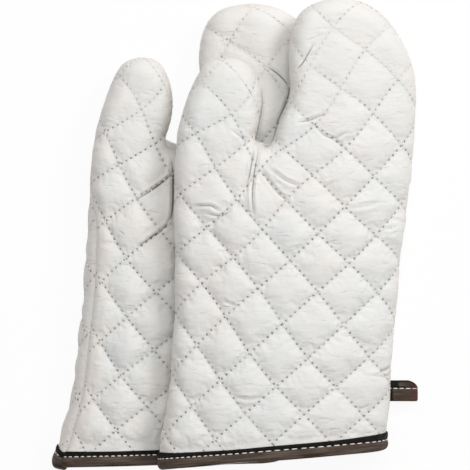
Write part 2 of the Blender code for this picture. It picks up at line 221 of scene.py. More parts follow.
class Glove:
    """Where one glove lies, and how high its seam and its two panels are at each place."""

    def __init__(self, name, place, turn_deg, cover=None):
        self.name = name
        self.place = np.array(place)
        self.cover = cover
        turn = math.radians(turn_deg)
        self.across = np.array((math.cos(turn), math.sin(turn)))
        self.along = np.array((-math.sin(turn), math.cos(turn)))

    def drawn(self, plan):
        """How a glove lies off its cut: the lower one is narrower at the left, and its hand is a little
        further out. The upper one's seam bulges where the loop is caught in it."""
        x, y = plan.T
        if self.cover is None:
            beside = ease(1 - (edge_at(right_edge, y) - x) / drawn_reach)
            bulge = bell(y - caught_at, caught_reach) * beside
            return np.column_stack((caught_out * bulge, np.zeros(len(plan))))
        beside = 1 - ease((x - edge_at(left_edge, y)) / drawn_reach)
        pull = drawn_in * ease(y / drawn_from) * beside
        pull *= 1 - thumb_less * ease((y - thumb_top) / thumb_run)
        pull += roll_draw * bell(y - roll_at, roll_reach) * beside
        near = np.exp(-(((plan - hand_spot) ** 2).sum(1)) / (2 * hand_reach ** 2))
        return np.column_stack((pull, np.zeros(len(plan)))) + near[:, None] * hand_shift

    def placed(self, plan):
        """Places on the table for places in the glove's own plan."""
        plan = plan + self.drawn(plan)
        return self.place + plan[:, :1] * self.across + plan[:, 1:] * self.along

    def plan_of(self, spot):
        """Places in the glove's own plan for places on the table."""
        away = spot - self.place
        return np.column_stack((away @ self.across, away @ self.along))

    def lift(self, plan):
        """How much higher than on the table the glove lies where it is arched over the other."""
        if self.cover is not None:
            return np.zeros(len(plan))
        left = line_across(arch_left, plan[:, 1])
        right = line_across(arch_right, plan[:, 1])
        return arch_height * (1 - np.clip((plan[:, 0] - left) / (right - left), 0, None) ** arch_power)

    def covered(self, plan):
        """How far inside the other glove's edge each place lies, where that one is on top."""
        over = self.cover.plan_of(self.placed(plan))
        return np.minimum(beside_edge(over)[0], over[:, 1])

    def crown(self, face, plan, depth):
        """How far the quilting lines of a panel lie above or below the seam."""
        if face < 0:
            return np.full(len(plan), lower_height)
        free = upper_height + crown_rise * ease((depth - edge_round) / crown_rise_run)
        if self.cover is None:
            return free
        over = self.cover.plan_of(self.placed(plan))
        room = self.cover.lift(over) - pressed_gap
        pressed = np.maximum(room, pressed_least)
        share = ease((press_inside - self.covered(plan)) / (press_inside + press_outside))
        return pressed + (np.maximum(free, pressed) - pressed) * share

    def seam_shift(self, foot):
        """How far the side seam has rolled round the edge on to the back."""
        if self.cover is None:
            return np.zeros(len(foot))
        fade = 1 - ease((foot[:, 1] - rolled_full) / (rolled_none - rolled_full))
        return rolled_seam * fade * (foot[:, 0] < 0)

    def laid(self, face, flat):
        """Where points of a panel's flat cut come to lie, before the quilting puffs it."""
        depth, foot, inward = beside_edge(flat)
        extra = taken_up(foot)
        angle = math.pi / 2 * np.clip((depth + extra) / (edge_round + extra), -1, 1)
        rolled = foot + inward * (edge_round * (1 - np.cos(angle)))[:, None]
        plan = np.where((depth < edge_round)[:, None], rolled, flat)
        inner = np.where((depth < edge_round)[:, None], foot + inward * edge_round, flat)
        deep = np.maximum(depth, edge_round)
        crown = np.where(angle >= 0, self.crown(face, inner, deep), self.crown(-face, inner, deep))
        height = seam_level + self.lift(plan) + face * crown * np.sin(angle)
        return np.column_stack((self.placed(plan), height))


upper_glove = Glove("upper_glove", (0.023865, -0.135523), 4.34)
lower_glove = Glove("lower_glove", (-0.040035, -0.136423), 1.34, upper_glove)

# The quilting: two families of stitched lines that cross in diamonds about 25 mm wide, pulled a little
# out of line by the sewing. Each crossing has its number in both families and its place in the picture,
# in pixels.
quilt_lines = {
    "upper_glove": ((0.0265, 0.0623), (0.01534, -0.01982), (0.01880, 0.01571)),
    "lower_glove": ((-0.0228, 0.0876), (0.01465, -0.02070), (0.01815, 0.01443)),
}
picture_scale = 0.000603
picture_mouths = {"upper_glove": (274.0, 458.5, 4.34), "lower_glove": (168.0, 460.0, 1.34)}
crossings = {
    "upper_glove": (
        (0, 0, 307.5, 359.2), (1, 0, 335, 385.8), (2, 0, 363.7, 415.8), (-1, 0, 281.7, 323.3),
        (-2, 0, 259.2, 287.5), (-3, 0, 232.8, 257.5), (0, 1, 343, 325), (0, 2, 377.5, 291.7),
        (0, -1, 275.8, 385), (0, -2, 245.8, 413.3), (0, -3, 214.5, 438.5), (1, -1, 304.2, 413.3),
        (1, -2, 271.5, 442.5), (-1, -1, 250, 353.3), (-1, -2, 220, 378.3), (-1, -3, 192.5, 405),
        (-2, -1, 224, 315.8), (-2, -2, 197.5, 345), (-1, 1, 317.5, 290.8), (-1, 2, 349, 263.3),
        (-1, 3, 375, 236.7), (-2, 1, 289.7, 260.3), (-2, 2, 317.5, 235), (-2, 3, 345, 206.7),
        (-2, 4, 372.5, 176.7), (-2, 5, 401.7, 145.8), (-3, 1, 261, 231), (-3, 2, 286.7, 198.3),
        (-3, 3, 311.7, 176.7), (-3, 4, 345.8, 148.3), (-3, 5, 372.7, 113.6), (-3, 6, 397.6, 79.8),
        (-4, 5, 340.2, 87), (-4, 4, 315, 128.3), (-4, 6, 364.9, 50.2), (-5, 5, 310, 66.7),
        (-5, 6, 332.2, 27.6), (-3, -1, 202.5, 282.5), (1, 1, 369, 357), (-1, 4, 402, 203),
        (-4, 1, 239, 199), (-5, 1, 214, 169), (-6, 1, 196, 133), (-6, 2, 233.5, 116),
        (-4, 2, 259, 171), (-4, 3, 281, 148), (2, -1, 332.3, 444.6),
    ),
    "lower_glove": (
        (0, 0, 127.1, 317.1), (0, 1, 157.1, 292.9), (1, 0, 154.3, 350), (1, -1, 120.7, 376.4),
        (2, -1, 147.1, 405.7), (2, -2, 116.4, 430), (0, -1, 100, 341.4), (1, -2, 93.6, 398.6),
        (-1, 0, 102.1, 281.4), (-1, 1, 124.3, 259.3), (-1, 2, 161.4, 230), (-2, 1, 105.7, 220.7),
        (-2, 2, 137.9, 199.3), (-3, 2, 118.6, 163.6), (-3, 3, 154.5, 145), (-2, 3, 171, 174),
        (-4, 3, 143.8, 109.1), (-4, 2, 105, 133), (-2, 6, 266, 67.5), (-3, 6, 230.5, 43),
        (-3, 7, 252, 6.5), (-2, 7, 295, 34),
    ),
}
warp_reach = 1.3
warp_slack = 0.06
mesh_per_cell = 18
coarse_per_cell = 6
cells_each_way = 12
hem = 0.0112
stitch_pitch = 0.0037
palm_pull = 0.0007
cut_sides = 0.13
cut_ends = (-0.006, 0.29)
unroll_rounds = 5
invert_rounds = 6
side_rounds = 8
settle_rounds = 6


def picture_to_flat(glove, pixels):
    """A place in the picture as one on the glove's flat cut, unrolled where the edge is rounded."""
    centre_x, centre_y, turn_deg = picture_mouths[glove.name]
    turn = math.radians(turn_deg)
    x = (pixels[:, 0] - centre_x) * picture_scale
    y = (centre_y - pixels[:, 1]) * picture_scale
    seen = np.column_stack((x * math.cos(turn) + y * math.sin(turn),
                            y * math.cos(turn) - x * math.sin(turn)))
    plan = seen
    for _ in range(unroll_rounds):
        plan = seen - glove.drawn(plan)
    depth, foot, inward = beside_edge(plan)
    extra = taken_up(foot)
    angle = np.arccos(np.clip(1 - depth / edge_round, 0, 1))
    unrolled = foot + inward * (angle / (math.pi / 2) * (edge_round + extra) - extra)[:, None]
    return np.where((depth < edge_round)[:, None], unrolled, plan)


class Quilting:
    """The lattice of stitched lines on one panel, as a map from counted cells to the flat cut."""

    def __init__(self, glove, face):
        origin, step_a, step_b = quilt_lines[glove.name]
        self.origin = np.array(origin)
        self.steps = np.array((step_a, step_b))
        table = np.array(crossings[glove.name], float)
        self.knots = table[:, :2]
        if face > 0:
            pull = picture_to_flat(glove, table[:, 2:]) - self.origin - self.knots @ self.steps
        else:
            rng = np.random.default_rng(len(table))
            pull = rng.normal(0.0, palm_pull, self.knots.shape)
        near = self.nearness(self.knots)
        self.weights = np.linalg.solve(near + warp_slack * np.eye(len(near)), pull)

    def nearness(self, cells):
        away = ((cells[:, None, :] - self.knots[None, :, :]) ** 2).sum(2)
        return np.exp(-away / (2 * warp_reach ** 2))

    def to_flat(self, cells):
        return self.origin + cells @ self.steps + self.nearness(cells) @ self.weights

    def to_cells(self, flat):
        back = np.linalg.inv(self.steps)
        cells = (flat - self.origin) @ back
        for _ in range(invert_rounds):
            cells = (flat - self.origin - self.nearness(cells) @ self.weights) @ back
        return cells


def inside_seam(glove, face, trim, flat):
    """How far each point of the cut lies inside a panel's seam line, and the way inward."""
    depth, foot, inward = beside_edge(flat)
    start = glove.seam_shift(foot) * face + trim
    return depth + taken_up(foot) - start, inward


def mouth_side(glove, face, sign, y, trim=0.0):
    """Where a panel's flat cut ends beside the mouth at the height y."""
    spot = np.array([[sign * glove_width / 2, y]])
    for _ in range(side_rounds):
        gap, inward = inside_seam(glove, face, trim, spot)
        spot[:, 0] -= gap * np.sign(inward[:, 0])
    return spot


def sum_beside(values, edges):
    """The sum of the values at the other ends of each point's edges."""
    total = np.zeros_like(values)
    np.add.at(total, edges[:, 0], values[edges[:, 1]])
    np.add.at(total, edges[:, 1], values[edges[:, 0]])
    return total


def edges_of(quads):
    """Every edge of a mesh of quads, each quad's four edges by number, and how many quads use each."""
    following = np.roll(quads, -1, axis=1)
    count = int(quads.max()) + 1
    keys = np.minimum(quads, following).astype(np.int64) * count + np.maximum(quads, following)
    keys, numbers, uses = np.unique(keys, return_inverse=True, return_counts=True)
    return np.column_stack((keys // count, keys % count)), numbers.reshape(-1, 4), uses


class Panel:
    """One panel's flat cut as a mesh of quads that follows its quilting lines."""

    def __init__(self, glove, face, quilting, per_cell, trim):
        self.glove = glove
        self.face = face
        self.name = f"{glove.name}_{'back' if face > 0 else 'palm'}"
        self.per_cell = per_cell
        self.trim = trim
        count = np.arange(-cells_each_way * per_cell, cells_each_way * per_cell + 1)
        index = np.stack(np.meshgrid(count, count, indexing="ij"), axis=2).reshape(-1, 2)
        flat = quilting.to_flat(index / per_cell)
        low, high = cut_ends
        within = (np.abs(flat[:, 0]) < cut_sides) & (flat[:, 1] > low) & (flat[:, 1] < high)
        margin = np.full(len(flat), -1.0)
        margin[within] = self.margins(flat[within]).min(1)
        depth, _, inward = [np.zeros((len(flat), *part.shape[1:])) for part in beside_edge(flat[:1])]
        depth[within], _, inward[within] = beside_edge(flat[within])
        side = len(count)
        first = (np.arange(side - 1)[:, None] * side + np.arange(side - 1)[None, :]).ravel()
        quads = np.column_stack((first, first + side, first + side + 1, first + 1))
        if np.linalg.det(quilting.steps) < 0:
            quads = quads[:, ::-1]
        ways = inward[quads]
        apart = ((ways[:, 0] * ways[:, 2]).sum(1) < 0) | ((ways[:, 1] * ways[:, 3]).sum(1) < 0)
        quads = quads[(margin[quads].mean(1) > 0) & ~(apart & (depth[quads].min(1) < 0))]
        quads = self.without_pinches(quads, margin)
        used, numbers = np.unique(quads, return_inverse=True)
        self.quads = numbers.reshape(-1, 4)
        self.index = index[used]
        self.flat = flat[used]
        self.settle_edge()
        self.cells = quilting.to_cells(self.flat)
        self.stitches = self.stitch_count(flat.reshape(side, side, 2), used)
        if face < 0:
            self.quads = self.quads[:, ::-1]

    def on_lines(self):
        """Which points lie on a quilting line."""
        return (self.index % self.per_cell == 0).any(1)

    def stitch_count(self, grid, used):
        """How many stitches lie along each family of lines up to each point, along its own line."""
        counts = []
        for axis in (0, 1):
            steps = np.diff(grid, axis=axis)
            run = unit(np.gradient(grid, axis=axis)).reshape(-1, 2)[used]
            start = np.zeros_like(grid[:1] if axis == 0 else grid[:, :1])[..., 0]
            lengths = np.cumsum(np.linalg.norm(steps, axis=2), axis=axis)
            length = np.concatenate((start, lengths), axis=axis)
            moved = ((self.flat - grid.reshape(-1, 2)[used]) * run).sum(1)
            counts.append((length.ravel()[used] + moved) / stitch_pitch)
        return np.column_stack(counts)

    def margins(self, flat):
        """How far each point lies inside the side seam and above the mouth's edge."""
        gap, _ = inside_seam(self.glove, self.face, self.trim, flat)
        return np.column_stack((gap, flat[:, 1]))

    def without_pinches(self, quads, margin):
        """The quads without those that hang on the rest by one corner."""
        while True:
            edges, _, uses = edges_of(quads)
            ends, counts = np.unique(edges[uses == 1], return_counts=True)
            pinched = ends[counts > 2]
            if len(pinched) == 0:
                return quads
            touched = np.isin(quads, pinched).any(1)
            loose = np.where(touched, margin[quads].mean(1), np.inf).argmin()
            quads = np.delete(quads, loose, axis=0)

    def settle_edge(self):
        """Draw the boundary on to the seam line and the mouth's edge, and even out beside it."""
        edges, _, uses = edges_of(self.quads)
        rim = edges[uses == 1]
        self.edge = np.zeros(len(self.flat), bool)
        self.edge[rim] = True
        beside = np.zeros(len(self.flat), bool)
        beside[edges[self.edge[edges].any(1)]] = True
        beside &= ~self.edge & ~self.on_lines()
        degree = np.bincount(edges.ravel(), minlength=len(self.flat))[:, None]
        for _ in range(settle_rounds):
            self.snap()
            total = sum_beside(self.flat, rim)
            self.flat[self.edge] = 0.5 * self.flat[self.edge] + 0.25 * total[self.edge]
            total = sum_beside(self.flat, edges)
            self.flat[beside] = 0.5 * self.flat[beside] + 0.5 * (total / degree)[beside]
        self.snap()
        for sign in (-1, 1):
            corner = mouth_side(self.glove, self.face, sign, 0.0, self.trim)
            near = np.where(self.edge, ((self.flat - corner) ** 2).sum(1), np.inf).argmin()
            self.flat[near] = corner

    def snap(self):
        """Move the boundary's points straight on to the seam line or the mouth's edge."""
        for _ in range(2):
            flat = self.flat[self.edge]
            gap, inward = inside_seam(self.glove, self.face, self.trim, flat)
            at_side = gap < flat[:, 1]
            flat[at_side] -= (inward * gap[:, None])[at_side]
            flat[~at_side, 1] = 0.0
            self.flat[self.edge] = flat


def out_of(points, quads):
    """The outward direction at each point of a mesh of quads."""
    corners = points[quads]
    faces = np.cross(corners[:, 2] - corners[:, 0], corners[:, 3] - corners[:, 1])
    total = np.zeros_like(points)
    for corner in range(4):
        np.add.at(total, quads[:, corner], faces)
    return total / np.maximum(np.linalg.norm(total, axis=1), 1e-12)[:, None]


# Each cell puffs out between its lines because the wadding pushes the cloth up. A cloth simulation
# under light pressure, held at the stitches and seams, gives the pillows and their small puckers.
sim_scale = 20.0
sim_frames = 20
sim_noise = 0.0001
sim_seed = 3
sim_slack = 0.05
cloth_settings = {
    "vertex_group_mass": "held", "quality": 5, "mass": 0.3, "tension_stiffness": 15.0,
    "compression_stiffness": 15.0, "shear_stiffness": 5.0, "bending_stiffness": 0.5,
    "air_damping": 1.0, "use_pressure": True, "uniform_pressure_force": 2.0,
    "shrink_min": -sim_slack, "shrink_max": -sim_slack,
}
puff_least = (-0.003, -0.003, -0.001)
puff_most = (0.003, 0.003, 0.005)
cloth_trim = 0.00006


def puffed(panel, seed):
    """How the cloth of a panel moves off its flat cut when the cells fill, along x, y and outwards."""
    held = panel.edge | panel.on_lines() | (panel.flat[:, 1] < hem)
    rng = np.random.default_rng(seed)
    points = np.column_stack((panel.flat, rng.normal(0, sim_noise, len(panel.flat)))) * sim_scale
    quads = panel.quads if panel.face > 0 else panel.quads[:, ::-1]
    mesh = bpy.data.meshes.new("cloth")
    mesh.from_pydata(points.tolist(), [], quads.tolist())
    piece = set_out("cloth", mesh)
    group = piece.vertex_groups.new(name="held")
    group.add(np.flatnonzero(held).tolist(), 1.0, "REPLACE")
    cloth = piece.modifiers.new("cloth", "CLOTH")
    for label, value in cloth_settings.items():
        setattr(cloth.settings, label, value)
    cloth.settings.effector_weights.gravity = 0.0
    cloth.collision_settings.use_collision = False
    cloth.point_cache.frame_start = 1
    cloth.point_cache.frame_end = sim_frames
    for step in range(1, sim_frames + 1):
        bpy.context.scene.frame_set(step)
    shaped = piece.evaluated_get(bpy.context.evaluated_depsgraph_get()).data
    moved = np.empty(len(points) * 3)
    shaped.vertices.foreach_get("co", moved)
    moved = (moved.reshape(-1, 3) - points * (1, 1, 0)) / sim_scale
    bpy.data.objects.remove(piece)
    bpy.data.meshes.remove(mesh)
    bpy.context.scene.frame_set(1)
    moved[held] = 0.0
    return np.clip(moved, puff_least, puff_most)


quiltings = {(glove, face): Quilting(glove, face)
             for glove in (lower_glove, upper_glove) for face in (1, -1)}
cloth_panels = {(glove, face): Panel(glove, face, quilting, mesh_per_cell, cloth_trim)
                for (glove, face), quilting in quiltings.items()}
puffs = {key: puffed(panel, sim_seed + number)
         for number, (key, panel) in enumerate(cloth_panels.items())}

# The outer cloth of each panel: off-white cotton drill, cut to the line and sewn through the wadding.
# It is one thin sheet, pillowed in every cell, dimpled at each stitch and drawn in along the seam.
cloth_thick = 0.0005
palm_share = 0.55
covered_share = 0.55
seam_dip = 0.0009
seam_dip_reach = 0.0018
line_crease = 0.55
seam_fade = 0.010
base_smoothing = 30
even_from = 0.8
even_run = 0.006
table_gap = 0.0003
seam_puff = 0.25
hand_less = 0.6
hand_from = 0.16
hand_run = 0.07
hidden_from = -0.002
hidden_run = 0.012
crease_steps = 6
pattern_scale = 10
mark_share = 0.55
mark_full = 0.0014
mark_none = 0.0022
mark_far = 0.0032
crease_floor = 0.0004
ridge_share = 0.6
# Each crease's depth, width, darkness of the painted shadow in its valley and line, the line in the
# picture's pixels.
creases = {
    "upper_glove": (
        (0.0015, 0.0009, 0.62, ((253.9, 150), (251, 168), (247.4, 186))),
        (0.0015, 0.0009, 0.72, ((258.5, 149), (254, 176), (252.2, 194), (253.3, 213))),
        (0.0008, 0.0011, 0.35, ((233, 131), (241, 137), (248, 143))),
        (0.0008, 0.0011, 0.35, ((262, 172), (277, 192), (289, 201))),
        (0.0009, 0.0011, 0.30, ((270, 169), (285.5, 180.5), (299, 186))),
        (0.0010, 0.0009, 0.75, ((313, 46), (303, 63), (297, 69.5))),
        (0.0009, 0.0010, 0.50, ((326, 114), (310, 120.5), (298, 122.5))),
        (0.0007, 0.0010, 0.40, ((317, 129), (324, 135.5), (333, 139.5), (342, 147))),
        (0.0006, 0.0010, 0.30, ((333, 140), (340, 136), (347, 132))),
        (0.0010, 0.0009, 0.60, ((196, 206.5), (205, 205.8), (212, 206.3), (218.5, 211))),
        (0.0010, 0.0009, 0.60, ((207.5, 214), (216.6, 215.6), (222.3, 215.5), (230, 211))),
        (0.0007, 0.0012, 0.12, ((348, 208), (364, 206), (379, 202))),
        (0.0006, 0.0011, 0.15, ((234, 396), (249, 398), (263, 396))),
        (0.0006, 0.0010, 0.20, ((224, 300), (230, 303), (236, 305.5))),
        (0.0009, 0.0010, 0.30, ((391, 367), (385, 370), (378, 373))),
        (0.0006, 0.0010, 0.15, ((370, 374), (377, 375.5), (385, 376.5))),
        (0.0008, 0.0010, 0.25, ((396, 226), (390, 228), (384, 228))),
    ),
    "lower_glove": (
        (0.0016, 0.0010, 1.00, ((137, 199.5), (153, 189), (163, 181.7), (172, 174))),
        (0.0018, 0.0012, 1.00, ((171.5, 160), (173.3, 174), (173.4, 190), (172.6, 211), (169, 224))),
        (0.0014, 0.0010, 1.00, ((172, 219.5), (162, 230), (152.7, 236.7), (140, 246))),
        (0.0012, 0.0010, 0.80, ((268, 67), (280, 76), (291, 88))),
        (0.0004, 0.0010, 0.80, ((288, 82), (289.2, 91), (285.2, 105), (278.7, 120), (272.6, 142))),
        (0.0003, 0.0009, 0.50, ((262, 88), (262, 105), (260.4, 116), (258.2, 126.5), (254.8, 143))),
    ),
}


def carved(glove, points, out):
    """Press the creases that the picture shows into the back, each a valley with a ridge beside it.

    The marks say how far each point lies beside a crease, left or right of it, and how dark the painted
    shadow in that one is. Neighbours in the list go to different sets of marks, so that close creases
    stay apart.
    """
    centre_x, centre_y, _ = picture_mouths[glove.name]
    top = out[:, 2] > 0
    marks = [np.zeros((len(points), 2)) for _ in range(2)]
    nearest = [np.full(len(points), mark_far) for _ in range(2)]
    for turn, (deep, wide, dark, pixels) in enumerate(creases[glove.name]):
        line = smooth_line(pixels, crease_steps)
        line = np.column_stack((line[:, 0] - centre_x, centre_y - line[:, 1]))
        line = line * picture_scale + glove.place
        away = np.full(len(points), np.inf)
        share = np.zeros(len(points))
        side = np.ones(len(points))
        for number, (start, end) in enumerate(zip(line, line[1:])):
            run = end - start
            beside = points[:, :2] - start
            at = np.clip((beside @ run) / (run @ run), 0, 1)
            gap = np.linalg.norm(beside - at[:, None] * run, axis=1)
            nearer = gap < away
            away[nearer] = gap[nearer]
            share[nearer] = ((number + at) / (len(line) - 1))[nearer]
            side[nearer] = np.sign(run[0] * beside[:, 1] - run[1] * beside[:, 0])[nearer]
        fade = np.sin(math.pi * np.clip(share, 0.02, 0.98)) ** 0.5
        valley = bell(away, wide)
        ridge = ridge_share * bell(away - 2.0 * wide, wide)
        # How dark the painted shadow in the crease's valley is drawn.
        strength = dark * fade * (1 - ease((away - mark_full) / (mark_none - mark_full))) * top
        moved = np.maximum(deep * fade * (ridge - valley), -crease_floor) * top
        points += out * moved[:, None]
        nearer = away < nearest[turn % 2]
        nearest[turn % 2][nearer] = away[nearer]
        marks[turn % 2][nearer] = np.column_stack((away * side / (mark_share * wide), strength))[nearer]
    return points, marks


def refined(points, quads, sharp):
    """One step of smooth subdivision, the given edges kept sharper, and the middles of the edges."""
    edges, numbers, uses = edges_of(quads)
    middle = points[edges].mean(1)
    centre = points[quads].mean(1)
    across = np.zeros_like(middle)
    np.add.at(across, numbers.ravel(), np.repeat(centre, 4, axis=0))
    rim = uses == 1
    crease = np.where(rim, 1.0, sharp[edges].all(1) * line_crease)[:, None]
    mids = middle * crease + (2 * middle + across) / 4 * (1 - crease)
    count = np.bincount(quads.ravel(), minlength=len(points))[:, None]
    around = np.zeros_like(points)
    np.add.at(around, quads.ravel(), np.repeat(centre, 4, axis=0))
    degree = np.bincount(edges.ravel(), minlength=len(points))[:, None]
    beside = np.zeros_like(points)
    for end in (0, 1):
        np.add.at(beside, edges[:, end], middle)
    smooth = (around / count + 2 * beside / degree + (count - 3) * points) / count
    held = np.zeros(len(points), bool)
    held[edges[rim]] = True
    kept = np.where(held, 1.0, sharp * line_crease)[:, None]
    corners = points * kept + smooth * (1 - kept)
    total = len(points)
    at_mid = numbers + total
    at_centre = np.arange(len(quads)) + total + len(edges)
    finer = [np.column_stack((quads[:, corner], at_mid[:, corner], at_centre, at_mid[:, corner - 1]))
             for corner in range(4)]
    return np.vstack((corners, mids, centre)), np.vstack(finer), at_mid


def halved(values, quads):
    """Values such as a pattern's coordinates carried on to the finer mesh, without smoothing."""
    edges, _, _ = edges_of(quads)
    return np.vstack((values, values[edges].mean(1), values[quads].mean(1)))


def rim_of(quads):
    """The boundary's edges in the direction in which their quads run, with each one's quad and side."""
    _, numbers, uses = edges_of(quads)
    quad, side = np.nonzero(uses[numbers] == 1)
    return quads[quad, side], quads[quad, (side + 1) % 4], quad, side


def mesh_object(name, points, faces, patterns):
    """A smooth-shaded piece from points and faces, with named patterns of flat coordinates on it."""
    mesh = bpy.data.meshes.new(name)
    mesh.from_pydata(points.tolist(), [], faces)
    mesh.shade_smooth()
    corners = np.empty(len(mesh.loops), int)
    mesh.loops.foreach_get("vertex_index", corners)
    for label, values in patterns.items():
        layer = mesh.uv_layers.new(name=label)
        layer.uv.foreach_set("vector", values[corners].astype(np.float32).ravel())
    return set_out(name, mesh)


def laid_smooth(panel, flat):
    """Places of a panel on the glove before puffing, with the crown evened out over the middle."""
    points = panel.glove.laid(panel.face, flat)
    edges, _, _ = edges_of(panel.quads)
    degree = np.bincount(edges.ravel(), minlength=len(points))
    depth = beside_edge(flat)[0]
    free = ease((depth - edge_round * even_from) / even_run) * ~panel.edge
    height = points[:, 2].copy()
    for _ in range(base_smoothing * panel.per_cell ** 2 // mesh_per_cell ** 2 + 1):
        height += (sum_beside(height, edges) / degree - height) * free
    points[:, 2] = height
    return points


def puff_share(panel):
    """How fully the cells puff: less on the palms, which lie flat, and under the other glove."""
    margin = panel.margins(panel.flat)[:, 0]
    a, b = panel.cells.T
    share = seam_puff + (1 - seam_puff) * ease(margin / seam_fade)
    share *= 0.92 + 0.14 * np.sin(1.7 * a + 0.6) * np.sin(1.3 * b + 1.1) + 0.08 * np.sin(2.9 * a + b)
    share *= 1 - hand_less * ease((panel.flat[:, 1] - hand_from) / hand_run)
    if panel.face < 0:
        return share * palm_share
    if panel.glove.cover is None:
        return share
    hidden = ease((panel.glove.covered(panel.flat) - hidden_from) / hidden_run)
    return share * (1 + (covered_share - 1) * hidden)


def dip_at_seam(panel):
    """How far the cloth is drawn in along the seam."""
    return seam_dip * bell(panel.margins(panel.flat)[:, 0], seam_dip_reach)


def draped(panel, puff, share):
    """The outer surface of a panel: laid, puffed by its share and drawn in at the seam."""
    points = laid_smooth(panel, panel.flat + puff[:, :2] * share[:, None])
    out = out_of(points, panel.quads)
    return points + out * (puff[:, 2] * share - dip_at_seam(panel))[:, None]


def cotton_shell(panel, puff):
    """One outer cloth as a closed thin sheet: a fine outer side and a plain inner one."""

    def on_both(values):
        return np.vstack((halved(values, panel.quads), values))

    outside = draped(panel, puff, puff_share(panel))
    out = out_of(outside, panel.quads)
    fine, fine_quads, at_mid = refined(outside, panel.quads, panel.on_lines() & ~panel.edge)
    marks = [np.zeros((len(fine), 2)) for _ in range(2)]
    if panel.face > 0:
        fine, marks = carved(panel.glove, fine, out_of(fine, fine_quads))
    fine[:, 2] = np.maximum(fine[:, 2], table_gap)
    inside = outside - out * cloth_thick
    inside[:, 2] = np.maximum(inside[:, 2], table_gap + cloth_thick)
    shift = len(fine)
    faces = fine_quads.tolist() + (panel.quads[:, ::-1] + shift).tolist()
    start, end, quad, edge_side = rim_of(panel.quads)
    for a, b, middle in zip(start, end, at_mid[quad, edge_side]):
        faces += [[a, a + shift, middle], [middle, a + shift, b + shift], [middle, b + shift, b]]
    faces = [[int(corner) for corner in corners] for corners in faces]
    unmarked = np.zeros((len(inside), 2))
    patterns = {
        "cut": on_both(panel.flat) * pattern_scale,
        "quilting": on_both(panel.cells) + cells_each_way,
        "stitches": on_both(panel.stitches),
        "seam": on_both(panel.margins(panel.flat)[:, [0, 0]]) * pattern_scale,
        "creases": np.vstack((marks[0], unmarked)),
        "more creases": np.vstack((marks[1], unmarked)),
    }
    name = f"{panel.name}_outer_cloth_quilted"
    return mesh_object(name, np.vstack((fine, inside)), faces, patterns), fine[:len(outside)]


def stands_for(piece, glove, node):
    """The piece moves with its glove and takes the place of a solid, which it hides."""
    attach(piece, glove.name)
    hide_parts(node)


def laid_sheet(panel):
    """Works out the area of the panel's flat cut, which nothing uses."""
    corners = panel.flat[panel.quads]
    across, along = corners[:, 2] - corners[:, 0], corners[:, 3] - corners[:, 1]
    area = np.abs(across[:, 0] * along[:, 1] - across[:, 1] * along[:, 0]).sum() / 2


class Wire:
    """A value that runs through a finish, with its maths written as an expression."""

    def __init__(self, finish, socket):
        self.finish = finish
        self.socket = socket

    def worked(self, operation, *others):
        return self.finish.node("ShaderNodeMath", {"operation": operation}, (self, *others))

    def __add__(self, other):
        return self.worked("ADD", other)

    def __sub__(self, other):
        return self.worked("SUBTRACT", other)

    def __rsub__(self, other):
        return self.finish.node("ShaderNodeMath", {"operation": "SUBTRACT"}, (other, self))

    def __mul__(self, other):
        return self.worked("MULTIPLY", other)

    def __pow__(self, other):
        return self.worked("POWER", other)

    __radd__ = __add__
    __rmul__ = __mul__


class Nodes:
    """A tree of nodes, to which they are added one by one."""

    def __init__(self, tree):
        self.tree = tree

    def node(self, kind, settings=None, inputs=(), output=0):
        """A node of this kind with its settings, and the values or wires of its inputs."""
        made = self.tree.nodes.new(kind)
        for label, value in (settings or {}).items():
            setattr(made, label, value)
        pairs = inputs.items() if isinstance(inputs, dict) else enumerate(inputs)
        for label, value in pairs:
            if isinstance(value, Wire):
                self.tree.links.new(value.socket, made.inputs[label])
            else:
                made.inputs[label].default_value = value
        return Wire(self, made.outputs[output])

    def shown(self, output, usual, bright, most=1.0):
        """Show the bright shader, where the rest see the usual, to the camera, gloss and glass."""
        camera, glossy, clear = [self.node("ShaderNodeLightPath", output=f"Is {kind} Ray")
                                 for kind in ("Camera", "Glossy", "Transmission")]
        direct = camera.worked("MAXIMUM", glossy.worked("MAXIMUM", clear))
        both = self.node("ShaderNodeMixShader", {}, (direct * most, usual, bright))
        self.tree.links.new(both.socket, self.tree.nodes[output].inputs["Surface"])


